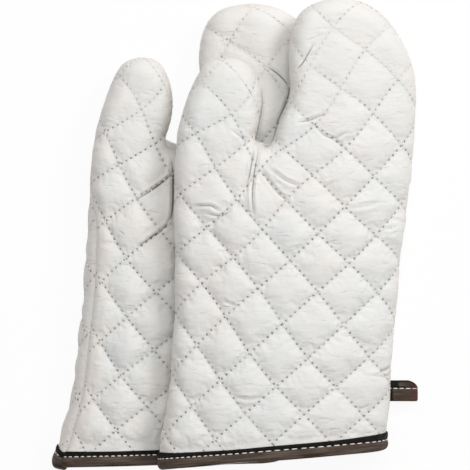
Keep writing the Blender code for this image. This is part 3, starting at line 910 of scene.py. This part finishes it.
class Finish(Nodes):
    """A material made of nodes, for one kind of surface."""

    def __init__(self, name, roughness, **fixed):
        self.material = bpy.data.materials.new(name)
        self.material.use_nodes = True
        super().__init__(self.material.node_tree)
        self.shader = self.tree.nodes["Principled BSDF"]
        self.shader.inputs["Roughness"].default_value = roughness
        for label, value in fixed.items():
            self.shader.inputs[label.replace("_", " ")].default_value = value

    def pattern(self, label):
        """The two flat coordinates of one of the piece's patterns."""
        place = self.node("ShaderNodeUVMap", {"uv_map": label})
        return [self.node("ShaderNodeSeparateXYZ", {}, (place,), axis) for axis in (0, 1)]

    def place(self):
        return self.node("ShaderNodeTexCoord", output="Object")

    def weave(self, x, y):
        """Crossed cotton threads, from the coordinates of the cut."""
        weft, warp = [way.worked("SINE") for way in (x * thread_wave, y * thread_wave)]
        return weft * warp * 0.5 + 0.5

    def cloudy(self, scale, detail=2.0, where=None):
        """Soft cloudy variation from 0 to 1."""
        where = where or self.place()
        return self.node("ShaderNodeTexNoise", {}, {"Vector": where, "Scale": scale, "Detail": detail})

    def ranged(self, value, low, high, to_low=0.0, to_high=1.0):
        """The value brought softly from one range into another."""
        return self.node("ShaderNodeMapRange", {"interpolation_type": "SMOOTHSTEP"},
                         {"Value": value, "From Min": low, "From Max": high,
                          "To Min": to_low, "To Max": to_high})

    def mixed(self, share, first, second):
        """A colour between the first and the second."""
        first, second = [value if isinstance(value, Wire) else (*value, 1.0)
                         for value in (first, second)]
        return self.node("ShaderNodeMix", {"data_type": "RGBA"}, {0: share, 6: first, 7: second}, 2)

    def takes(self, label, value):
        """Feed the shader's socket of this name."""
        self.tree.links.new(value.socket, self.shader.inputs[label])

    def bumped(self, *heights):
        """Bumps, one on the other, each a pattern from 0 to 1 and its height in metres."""
        normal = None
        for height, distance in heights:
            inputs = {"Height": height, "Distance": distance, "Strength": 1.0}
            if normal is not None:
                inputs["Normal"] = normal
            normal = self.node("ShaderNodeBump", {}, inputs)
        self.takes("Normal", normal)


cotton_color = (0.800, 0.790, 0.770)
cotton_warm = (0.815, 0.785, 0.755)
cotton_cool = (0.770, 0.785, 0.765)
# A warm painted shade for the cloth beside the seams, where it rolls over the edge.
cotton_seam_shade = (0.800, 0.730, 0.670)
# Painted shadow, near black, for the valleys of the creases.
crease_shadow_color = (0.030, 0.027, 0.020)
# Painted shadow in the needle holes.
hole_shadow_color = (0.13, 0.125, 0.12)
slub_color = (0.55, 0.54, 0.52)
# Painted shade along the stitched channels.
channel_shade_color = (0.45, 0.44, 0.43)
cell_size = 0.0265
hole_radius = 0.00042
hole_soft = (0.6, 1.7)
dimple_reach = 0.0012
channel_reach = 0.0022
fainter_from = (1.75, 2.35)
thread_pitch = 0.00050
thread_wave = math.pi / (thread_pitch * pattern_scale)
weave_height = 0.00006
fuzz_height = 0.00012
dimple_height = 0.0006
fold_height = 0.00022
crumple_height = 0.0006


def quilted_cotton():
    """Off-white cotton with fine crumples, and painted shade in its needle holes, along its channels
    and in its creases.
    """
    finish = Finish("Quilted cotton", 0.88, Sheen_Weight=0.15)
    a, b = finish.pattern("quilting")
    x, y = finish.pattern("cut")
    along_a, along_b = finish.pattern("stitches")
    from_seam, _ = finish.pattern("seam")
    holes = []
    lines = []
    for across, along in ((a, along_b), (b, along_a)):
        off_line = across.worked("PINGPONG", 0.5) * cell_size
        off_hole = along.worked("PINGPONG", 0.5) * stitch_pitch
        away = off_line * off_line + off_hole * off_hole
        holes.append(away ** 0.5)
        lines.append(off_line)
    hole = holes[0].worked("MINIMUM", holes[1])
    line = lines[0].worked("MINIMUM", lines[1])
    # Painted shadow in each needle hole: a dark round spot, paler in patches and towards the top of the
    # glove.
    hole_shade = finish.ranged(hole, hole_radius * hole_soft[0], hole_radius * hole_soft[1], 1.0, 0.0)
    clear = finish.ranged(finish.cloudy(75.0, 3.0), 0.32, 0.62, 0.35, 1.0)
    clear = clear * finish.ranged(finish.cloudy(230.0, 1.0), 0.35, 0.60, 0.55, 1.0)
    faint = finish.ranged(y, *fainter_from, 1.0, 0.20)
    spots = finish.ranged(finish.cloudy(120.0, 1.0), 0.46, 0.64, 0.0, 0.55)
    faint = (faint + spots).worked("MINIMUM", 1.0)
    # Painted shade in the channels: the colour is a little darker within about two millimetres of each
    # quilting line.
    channel_shade = finish.ranged(line, 0.0, channel_reach, 1.0, 0.0)
    color = finish.mixed(finish.ranged(finish.cloudy(22.0), 0.35, 0.65), cotton_warm, cotton_cool)
    color = finish.mixed(finish.ranged(finish.cloudy(55.0, 4.0), 0.3, 0.7), color, cotton_color)
    slub = finish.ranged(finish.cloudy(900.0, 3.0), 0.3, 0.75, 0.0, 0.10)
    color = finish.mixed(slub, color, slub_color)
    color = finish.mixed(channel_shade * 0.10, color, channel_shade_color)
    # Painted warm shade beside the seam: the cloth turns a darker pinkish grey within about 18 mm of
    # it, in patches.
    seam_shade = finish.ranged(from_seam, 0.02, 0.18, 0.6, 0.0)
    seam_shade = seam_shade * finish.ranged(finish.cloudy(35.0), 0.3, 0.6, 0.3, 1.0)
    color = finish.mixed(seam_shade, color, cotton_seam_shade)
    # Painted shadow in the creases: the colour darkens towards each crease's line, as far as its
    # darkness says.
    for label in ("creases", "more creases"):
        beside, strength = finish.pattern(label)
        dark = finish.ranged(beside.worked("ABSOLUTE"), 0.0, 1.5, 1.0, 0.0) * strength
        color = finish.mixed(dark, color, crease_shadow_color)
    color = finish.mixed(hole_shade * clear * faint * 0.95, color, hole_shadow_color)
    finish.takes("Base Color", color)
    dimple = finish.ranged(hole, 0.0, dimple_reach, 1.0, 0.0) * faint * -1
    stretched = finish.node("ShaderNodeCombineXYZ", {}, (x * 0.7, y * 1.5, 0.0))
    folds = finish.cloudy(9.0, 2.0, stretched)
    folds = finish.ranged((folds - 0.5).worked("ABSOLUTE"), 0.0, 0.07)
    where = finish.ranged(finish.cloudy(14.0, 1.0, stretched), 0.53, 0.66)
    crumple = finish.cloudy(16.0, 2.0, stretched)
    finish.bumped((finish.weave(x, y), weave_height), (finish.cloudy(700.0, 4.0), fuzz_height),
                  (dimple, dimple_height), (1 - (1 - folds) * where, fold_height),
                  (crumple, crumple_height))
    return finish.material


cotton = quilted_cotton()
cloth_tops = {}
for (glove, face), panel in cloth_panels.items():
    piece, cloth_tops[glove, face] = cotton_shell(panel, puffs[glove, face])
    piece.data.materials.append(cotton)
    stands_for(piece, glove, f"{panel.name}_outer_cloth")
    laid_sheet(panel)

# The wadding and the lining: a layer of soft white fibre and a plain cotton inner cloth under each
# outer cloth, cut to the same line and caught by the same stitches, so that both are thin along the
# quilting lines. Only their edges in the mouth and the lining's inside can be seen.
layer_depths = {
    "wadding": ((0.80, 0.0010), (-0.10, 0.0025)),
    "lining": ((-0.10, 0.0029), (-0.10, 0.0034)),
}
layer_trim = 0.0006
wadding_colors = ((0.86, 0.86, 0.84), (0.78, 0.78, 0.76))
lining_colors = ((0.76, 0.75, 0.72), (0.70, 0.68, 0.64))


def at_coarse(panel, fine_panel, puff):
    """The puff of the fine mesh at the points of a coarser one, none where those lie on the edge."""
    ratio = fine_panel.per_cell // panel.per_cell
    reach = cells_each_way * fine_panel.per_cell
    rows = np.full((2 * reach + 1, 2 * reach + 1), -1)
    rows[tuple((fine_panel.index + reach).T)] = np.arange(len(fine_panel.index))
    found = rows[tuple((panel.index * ratio + reach).T)]
    return puff[found] * ((found >= 0) & ~panel.edge)[:, None]


def layer_shell(name, panel, puff, depths):
    """A closed layer between two depths below the outer cloth, each following part of its puff."""
    base = laid_smooth(panel, panel.flat)
    out = out_of(base, panel.quads)
    dip = dip_at_seam(panel)
    rise = puff[:, 2] * puff_share(panel)
    sides = [base + out * (rise * part - dip - depth)[:, None] for part, depth in depths]
    shift = len(base)
    start, end, _, _ = rim_of(panel.quads)
    rim = np.column_stack((end, start, start + shift, end + shift))
    faces = np.vstack((panel.quads, panel.quads[:, ::-1] + shift, rim)).tolist()
    cut = np.vstack((panel.flat, panel.flat)) * pattern_scale
    return mesh_object(name, np.vstack(sides), faces, {"cut": cut})


def soft_fibre():
    finish = Finish("Wadding fibre", 0.95)
    strand = finish.cloudy(500.0, 5.0)
    finish.takes("Base Color", finish.mixed(finish.ranged(strand, 0.3, 0.7), *wadding_colors))
    finish.bumped((strand, 0.0004))
    return finish.material


def plain_cotton():
    finish = Finish("Lining cotton", 0.9)
    cloud = finish.ranged(finish.cloudy(60.0, 3.0), 0.3, 0.7)
    finish.takes("Base Color", finish.mixed(cloud, *lining_colors))
    finish.bumped((finish.weave(*finish.pattern("cut")), 0.00007))
    return finish.material


layer_finishes = {"wadding": soft_fibre(), "lining": plain_cotton()}
for (glove, face), quilting in quiltings.items():
    panel = Panel(glove, face, quilting, coarse_per_cell, layer_trim)
    puff = at_coarse(panel, cloth_panels[glove, face], puffs[glove, face])
    for layer, depths in layer_depths.items():
        piece = layer_shell(f"{panel.name}_{layer}_quilted", panel, puff, depths)
        piece.data.materials.append(layer_finishes[layer])
        stands_for(piece, glove, f"{panel.name}_{layer}")
        if layer == "wadding":
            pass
        else:
            laid_sheet(panel)

# The quilting thread: white cotton lockstitch along every line, from needle hole to needle hole,
# through all three layers of a panel. Each stitch is a short soft bar that sinks in at both ends.
stitch_part = (0.17, 0.83)
quilt_thread = 0.00042
stitch_lift = 0.00012
hem_gap = 0.001
thread_colors = ((0.90, 0.89, 0.87), (0.74, 0.73, 0.70))


def cotton_thread():
    finish = Finish("White thread", 0.75)
    twist = finish.node("ShaderNodeTexWave", {"bands_direction": "DIAGONAL"},
                        {"Vector": finish.place(), "Scale": 900.0, "Distortion": 1.0})
    finish.takes("Base Color", finish.mixed(twist, *thread_colors))
    finish.bumped((twist, 0.00005))
    return finish.material


def stitch_nodes():
    """Geometry nodes that lay one thread bar on each point, along its run and flat on the cloth."""
    tree = bpy.data.node_groups.new("Stitches", "GeometryNodeTree")
    for label, way, kind in (("Points", "INPUT", "Geometry"), ("Thread thickness", "INPUT", "Float"),
                             ("Thread", "INPUT", "Material"), ("Stitches", "OUTPUT", "Geometry")):
        tree.interface.new_socket(label, in_out=way, socket_type=f"NodeSocket{kind}")
    nodes = Nodes(tree)
    points, thickness, thread = [nodes.node("NodeGroupInput", output=label)
                                 for label in ("Points", "Thread thickness", "Thread")]
    run, rise = [nodes.node("GeometryNodeInputNamedAttribute", {"data_type": "FLOAT_VECTOR"},
                            {"Name": label}, "Attribute") for label in ("run", "rise")]
    length = nodes.node("ShaderNodeVectorMath", {"operation": "LENGTH"}, (run,), "Value")
    along = nodes.node("FunctionNodeAlignRotationToVector", {"axis": "X"}, {"Vector": run})
    upright = nodes.node("FunctionNodeAlignRotationToVector", {"axis": "Z", "pivot_axis": "X"},
                         {"Rotation": along, "Vector": rise})
    size = nodes.node("ShaderNodeCombineXYZ", {}, (length, thickness, thickness))
    bar = nodes.node("GeometryNodeMeshUVSphere", {}, {"Segments": 6, "Rings": 4, "Radius": 0.5})
    spread = nodes.node("GeometryNodeInstanceOnPoints", {},
                        {"Points": points, "Instance": bar, "Rotation": upright, "Scale": size})
    real = nodes.node("GeometryNodeRealizeInstances", {}, (spread,))
    sewn_in = nodes.node("GeometryNodeSetMaterial", {}, {"Geometry": real, "Material": thread})
    tree.links.new(sewn_in.socket, tree.nodes.new("NodeGroupOutput").inputs["Stitches"])
    return tree


stitches = stitch_nodes()
white_thread = cotton_thread()


def sewn(name, rows, thickness):
    """One plain mesh of thread bars from rows of (middle, run, rise)."""
    places, runs, rises = [np.vstack([row[part] for row in rows]) for part in range(3)]
    mesh = bpy.data.meshes.new(f"{name}_points")
    mesh.from_pydata(places.tolist(), [], [])
    for label, values in (("run", runs), ("rise", rises)):
        mesh.attributes.new(label, "FLOAT_VECTOR", "POINT").data.foreach_set("vector", values.ravel())
    holder = set_out(f"{name}_points", mesh)
    maker = holder.modifiers.new("stitches", "NODES")
    maker.node_group = stitches
    wanted = {"Thread thickness": thickness, "Thread": white_thread}
    for item in stitches.interface.items_tree:
        if item.name in wanted:
            maker[item.identifier] = wanted[item.name]
    made = bpy.data.meshes.new_from_object(holder.evaluated_get(bpy.context.evaluated_depsgraph_get()))
    bpy.data.objects.remove(holder)
    bpy.data.meshes.remove(mesh)
    made.name = name
    made.shade_smooth()
    return set_out(name, made)


def along_line(points, out, at, parts=stitch_part, loose=0.0):
    """Stitches along a line of points, whose places at counts the stitches."""
    first, last = math.ceil(at[0]), math.floor(at[-1])
    if last - first < 1:
        return []
    number = np.arange(first, last)
    ends = []
    for end, part in enumerate(parts):
        where = number + part + loose * np.sin(number * (2.4 + end) + end)
        ends.append(np.column_stack([np.interp(where, at, points[:, axis]) for axis in range(3)]))
    rise = unit(np.column_stack([np.interp(number + 0.5, at, out[:, axis]) for axis in range(3)]))
    middle = (ends[0] + ends[1]) / 2 + rise * stitch_lift
    return [(middle, ends[1] - ends[0], rise)]


def quilting_stitches(panel, points):
    """The stitches of all of a panel's lines that run outside the binding and the seams."""
    rows = []
    out = out_of(points, panel.quads)
    free = ~panel.edge & (panel.flat[:, 1] > hem + hem_gap)
    for axis in (0, 1):
        across, along = panel.index[:, axis], panel.index[:, 1 - axis]
        for line in np.unique(across[across % panel.per_cell == 0]):
            on = np.flatnonzero(free & (across == line))
            on = on[np.argsort(along[on])]
            breaks = np.flatnonzero(np.diff(along[on]) > 1) + 1
            for part in np.split(on, breaks):
                if len(part) > 2:
                    rows += along_line(points[part], out[part], panel.stitches[part, 1 - axis])
    return rows


for glove in (lower_glove, upper_glove):
    rows = []
    for face in (1, -1):
        rows += quilting_stitches(cloth_panels[glove, face], cloth_tops[glove, face])
    piece = sewn(f"{glove.name}_quilting_thread", rows, quilt_thread)
    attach(piece, glove.name)

# The cuff binding: a dark brown bias tape folded over the mouth's raw edges, its own edges turned in,
# and topstitched through all layers about 3 mm below its upper edge. It is folded at each side seam.
millimetre = 0.001
tape_section = (
    (8.3, 0.05), (8.6, 0.35), (8.4, 0.75), (7.7, 1.05), (6.8, 1.02), (6.1, 0.72), (5.7, 0.55),
    (5.3, 0.72), (4.6, 1.12), (3.6, 1.42), (2.4, 1.46), (1.2, 1.22), (0.3, 0.70), (-0.4, -0.2),
    (-0.7, -1.3), (-0.7, -2.5), (-0.4, -3.6), (0.4, -4.4), (1.6, -4.75), (3.5, -4.8), (5.5, -4.6),
    (7.5, -4.6), (8.4, -4.5), (8.6, -4.2), (8.3, -3.9), (5.5, -3.85), (2.5, -3.85), (0.7, -3.5),
    (0.1, -2.6), (0.1, -1.2), (0.7, -0.2), (2.5, 0.12), (5.5, 0.12), (7.8, 0.12),
)
tape_stations = 96
tape_crowding = 0.75
tape_top = 0.0086
tape_drop = {"lower_glove": 0.0022, "upper_glove": 0.0}
ear_rise = 0.0054
end_rise = {"lower_glove": (0.0005, 0.0005), "upper_glove": (0.0016, 0.0019)}
end_reach = (0.014, 0.026)
rise_from = 0.0060
waist = 0.0004
waist_at = 0.052
waist_reach = 0.018
ear_from = 0.0115
ear_reach = 0.0075
mouth_half = 0.136
ripple = 0.00012
side_step = 0.0003
stitch_row = 0.0057
stitch_out = 0.00075
top_stitch = {"lower_glove": (0.0037, 0.0037), "upper_glove": (0.0034, 0.0054)}
longer_from = 0.20
longer_run = 0.35
tape_thread = 0.00075
mitre_dip = 0.0009
mitre_reach = 0.0012
top_stitch_part = (0.11, 0.89)
top_stitch_loose = 0.06
rib_pitch = 0.0028
# Near black: painted shade beside the tape's upper edge, also used for the loop's ends at the seam.
tape_dark = (0.006, 0.0042, 0.003)
tape_brown = (0.070, 0.050, 0.038)
# Painted sheen and painted shade, in streaks and patches along the tape's brown.
tape_sheen = (0.130, 0.098, 0.078)
tape_satin_shade = (0.022, 0.012, 0.009)
tape_even = np.linspace(0, 1, tape_stations)
tape_across = tape_even - tape_crowding * np.sin(2 * math.pi * tape_even) / (2 * math.pi)
round_it = ((1, tape_across), (-1, tape_across[-2:0:-1]))


def hem_surface(glove, face, across, y):
    """Points of a panel's outer face in the hem and the directions out of it there."""
    level = max(y, 0.0)
    left, right = [mouth_side(glove, face, sign, level)[0, 0] for sign in (-1, 1)]
    width = (right - left) * across
    height = np.full(len(across), y - tape_drop[glove.name])
    if glove.cover is not None and face < 0:
        height += ear_rise * bell(width - ear_from, ear_reach) * level / tape_top
    if face > 0:
        upper = np.clip((level - rise_from) / (tape_top - rise_from), 0, 1)
        for end, rise, reach in zip((left, right), end_rise[glove.name], end_reach):
            height += upper * rise * bell(left + width - end, reach)
        if glove.cover is None:
            narrow = waist * bell(width - waist_at, waist_reach)
            height += (1 - 2 * level / tape_top) * narrow
    flat = np.column_stack((left + width, np.maximum(height, 0.0)))
    inset = flat.copy()
    inset[:, 0] = np.clip(inset[:, 0], left + side_step, right - side_step)
    steps = [glove.laid(face, inset + offset)
             for offset in ((side_step, 0), (-side_step, 0), (0, side_step), (0, -side_step))]
    out = unit(np.cross(steps[0] - steps[1], steps[2] - steps[3]) * face)
    points = glove.laid(face, flat)
    points[:, :2] += glove.along * np.minimum(height, 0.0)[:, None]
    return points, out


def round_mouth(glove, y, offset):
    """A closed line round the mouth, at a height on the panels and an offset out of their faces."""
    line = []
    for face, part in round_it:
        points, out = hem_surface(glove, face, part, y)
        width = np.linalg.norm(np.ptp(points, axis=0))
        from_seam = np.minimum(part, 1 - part) * width
        rise = offset - (mitre_dip * bell(from_seam, mitre_reach) if offset > 0 else 0.0)
        waves = np.sin(part * 61.0 + face) * np.sin(part * 23.0 + y * 300)
        rise = rise + ripple * waves * (offset > 0.0003)
        line.append(points + out * np.reshape(rise, (-1, 1)))
    return np.vstack(line)


def strip_faces(rows, count, closed):
    """Quads between neighbouring rows of points, each row a closed ring of the same count."""
    faces = []
    for row in range(rows if closed else rows - 1):
        first, second = row * count, (row + 1) % rows * count
        for corner in range(count):
            following = (corner + 1) % count
            faces.append([first + corner, second + corner, second + following, first + following])
    return faces


def lengths_along(line):
    """How far along a line each of its points lies."""
    return np.concatenate([[0], np.cumsum(np.linalg.norm(np.diff(line, axis=0), axis=1))])


def binding_tape(glove):
    """The folded tape as one closed tube of its section round the mouth."""
    rings = np.array([round_mouth(glove, y * millimetre, rise * millimetre)
                      for y, rise in tape_section])
    count, around = rings.shape[:2]
    along = np.concatenate((tape_across, 2 - tape_across[-2:0:-1])) * mouth_half
    width = lengths_along(tape_section) * millimetre
    pattern = np.column_stack((np.tile(along, count), np.repeat(width, around))) * pattern_scale
    return mesh_object(f"{glove.name}_cuff_binding_tape", rings.reshape(-1, 3),
                       strip_faces(count, around, True), {"tape": pattern})


def satin_tape(name, dark_to, fold_at=None):
    """Woven tape with fine slanting ribs and a slight sheen, painted sheen and shade in streaks along
    it, and painted shade, near black, beside its upper edge.
    """
    finish = Finish(name, 0.75, Specular_IOR_Level=0.12)
    along, width = finish.pattern("tape")
    ribs = ((along + width) * (math.pi / rib_pitch)).worked("SINE")
    dark_to = dark_to * pattern_scale
    upper = finish.ranged(width, dark_to - 0.004, dark_to + 0.004, 1.0, 0.0)
    streak, patch = [
        finish.cloudy(1.0, detail, finish.node("ShaderNodeCombineXYZ", {},
                                               (along * lengthwise, width * crosswise, at)))
        for detail, lengthwise, crosswise, at in ((3.0, 5.0, 60.0, 0.0), (2.0, 4.0, 22.0, 3.0))]
    # Painted sheen in light streaks and painted shade in dark patches along the tape.
    color = finish.mixed(finish.ranged(streak, 0.40, 0.68), tape_brown, tape_sheen)
    color = finish.mixed(finish.ranged(patch, 0.52, 0.68, 0.0, 0.85), color, tape_satin_shade)
    # Painted shade, near black, over the tape's upper edge down to the width given.
    color = finish.mixed(upper, color, tape_dark)
    if fold_at is not None:
        from_fold = (along - fold_at * pattern_scale).worked("ABSOLUTE")
        color = finish.mixed(finish.ranged(from_fold, 0.01, 0.085, 0.75, 0.0), color, loop_red)
        color = finish.mixed(finish.ranged(from_fold, 0.145, 0.165, 0.0, 0.95), color, tape_dark)
    finish.takes("Base Color", color)
    finish.takes("Roughness", finish.ranged(finish.cloudy(300.0, 3.0), 0.3, 0.7, 0.6, 0.85))
    finish.bumped((ribs * 0.5 + 0.5, 0.00006), (finish.cloudy(420.0, 3.0), 0.00018))
    return finish.material


binding_finish = satin_tape("Brown binding tape", 0.0040)
for glove in (lower_glove, upper_glove):
    piece = binding_tape(glove)
    piece.data.materials.append(binding_finish)
    finer = piece.modifiers.new("rounding", "SUBSURF")
    finer.levels = finer.render_levels = 1
    stands_for(piece, glove, f"{glove.name}_cuff_binding")
    line = round_mouth(glove, stitch_row, stitch_out)
    line = np.vstack((line, line[:1]))
    steps = np.linalg.norm(np.diff(line, axis=0), axis=1)
    short, long = top_stitch[glove.name]
    share = np.concatenate((tape_across, tape_across[::-1]))
    pitch = short + (long - short) * ease((share - longer_from) / longer_run)
    at = np.concatenate([[0], np.cumsum(steps / pitch[1:1 + len(steps)])])
    out = np.vstack([hem_surface(glove, face, part, stitch_row)[1] for face, part in round_it])
    rows = along_line(line, np.vstack((out, out[:1])), at, top_stitch_part, top_stitch_loose)
    thread = sewn(f"{glove.name}_binding_thread", rows, tape_thread)
    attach(thread, glove.name)

# The hanging loop: the same tape folded in two lengthwise and topstitched, then doubled into a loop
# and caught in the side seam. Its two ends lie together at the seam and its bight stands open.
loop_path = (
    (-4.0, 0.55), (-2.0, 0.56), (0.0, 0.60), (2.2, 1.00), (5.0, 2.20), (8.0, 3.30), (10.8, 3.60),
    (13.1, 2.90), (14.4, 1.50), (14.8, 0.0), (14.4, -1.50), (13.1, -2.90), (10.8, -3.60),
    (8.0, -3.30), (5.0, -2.20), (2.2, -1.00), (0.0, -0.60), (-2.0, -0.56), (-4.0, -0.55),
)
loop_steps = 5
loop_half_width = 0.0045
loop_half_thick = 0.00055
loop_fold = 0.0200
loop_slew = 0.0018
slew_from = 0.49
slew_run = 0.22
loop_stitch = 0.0040
loop_stitch_part = (0.05, 0.95)
loop_stitch_side = 0.72
loop_stitch_rise = 0.8
loop_narrowing = 0.13
narrowing_reach = 0.035
loop_red = (0.095, 0.036, 0.034)
loop_section = (
    (1.0, -0.5), (1.0, 0.5), (0.93, 1.0), (0.80, 0.95), (0.70, 0.55), (0.60, 0.95), (0.1, 1.15),
    (-0.93, 1.0), (-1.0, 0.5), (-1.0, -0.5), (-0.93, -1.0), (0.0, -1.0), (0.93, -1.0),
)
loop_hinges = {
    "lower_glove": ((0.033993, -0.099439, 0.013), 25.0),
    "upper_glove": ((0.095504, -0.094844, 0.008006), 0.0),
}


def loop_lie(glove):
    """Where a loop is caught in the seam, the way it reaches out and the way across it."""
    hinge, droop_deg = loop_hinges[glove.name]
    droop = math.radians(droop_deg)
    reach = np.array((math.cos(droop), 0.0, -math.sin(droop)))
    rise = np.array((math.sin(droop), 0.0, math.cos(droop)))
    return np.array(hinge), reach, rise


def loop_frame(glove):
    """The doubled tape's middle line in the pair's frame, and the direction out of its face."""
    hinge, reach, rise = loop_lie(glove)
    path = smooth_line(np.array(loop_path) * millimetre, loop_steps)
    run = unit(np.gradient(path, axis=0))
    line = hinge + path[:, :1] * reach + path[:, 1:] * rise
    out = -run[:, 1:] * reach + run[:, :1] * rise
    share = np.linspace(0, 1, len(path))
    line[:, 1] -= loop_slew * (1 - 2 * ease((share - slew_from) / slew_run))
    return line, out


def bends_at_seam(piece):
    """Applies the piece's transform to its mesh."""
    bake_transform(piece)


def loop_tape(glove):
    """The doubled tape as one closed strip of its section along the loop's line."""
    line, out = loop_frame(glove)
    count = len(loop_section)
    points = []
    share = np.linspace(0, 1, len(line))
    narrowed = loop_narrowing * bell(share - 0.5, narrowing_reach)
    half_width = loop_half_width * (1 - narrowed)
    for spot, way, half in zip(line, out, half_width):
        for side, rise in loop_section:
            points.append(spot + way * rise * loop_half_thick + np.array((0, side * half, 0)))
    last = (len(line) - 1) * count
    faces = strip_faces(len(line), count, False)
    faces += [list(range(count)), list(range(last, last + count))[::-1]]
    width = (1 - np.array([side for side, _ in loop_section])) * loop_half_width
    pattern = np.column_stack((np.repeat(lengths_along(line), count), np.tile(width, len(line))))
    pattern *= pattern_scale
    return mesh_object(f"{glove.name}_hanging_loop_tape", np.array(points), faces, {"tape": pattern})


loop_finish = satin_tape("Brown loop tape", 0.0010, loop_fold)
for glove in (lower_glove, upper_glove):
    piece = loop_tape(glove)
    piece.data.materials.append(loop_finish)
    bends_at_seam(piece)
    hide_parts(f"{glove.name}_hanging_loop")
    line, out = loop_frame(glove)
    shift = np.array((0.0, loop_half_width * loop_stitch_side, 0.0))
    beside = line + out * loop_half_thick * loop_stitch_rise + shift
    rows = along_line(beside, out, lengths_along(line) / loop_stitch, loop_stitch_part)
    thread = sewn(f"{glove.name}_loop_thread", rows, tape_thread)
    bends_at_seam(thread)

# The floor and the light: a white table under broad soft light from above and from the upper right, on
# a plain white background.
table_shown = 0.93
air_light = 0.38
floor = set_out("floor", bpy.data.meshes.new("floor"))
floor.data.from_pydata([(-3, -3, 0), (3, -3, 0), (3, 3, 0), (-3, 3, 0)], [], [(0, 1, 2, 3)])
table = Finish("White table", 0.9, Base_Color=(0.9, 0.9, 0.9, 1.0))
glow = table.node("ShaderNodeEmission")
table.shown("Material Output", Wire(table, table.shader.outputs[0]), glow, table_shown)
floor.data.materials.append(table.material)
world = bpy.data.worlds.new("studio")
world.use_nodes = True
bpy.context.scene.world = world
sky = Nodes(world.node_tree)
air, white = [sky.node("ShaderNodeBackground", {}, ((1.0, 1.0, 1.0, 1.0), strength))
              for strength in (air_light, 1.0)]
sky.shown("World Output", air, white)


def soft_lamp(name, place, size, power):
    """A square lamp that is turned to the middle of the table."""
    stand = set_out(name, bpy.data.lights.new(name, "AREA"))
    stand.data.size = size
    stand.data.energy = power
    stand.location = place
    aim = -np.array(place, float)
    stand.rotation_euler = (math.acos(-aim[2] / np.linalg.norm(aim)), 0.0,
                            math.atan2(aim[1], aim[0]) - math.pi / 2)


soft_lamp("key", (1.0, 0.8, 1.3), 0.7, 13.2)
soft_lamp("top", (0.1, 0.9, 1.8), 0.8, 14.2)
bpy.context.scene.view_settings.view_transform = "Standard"
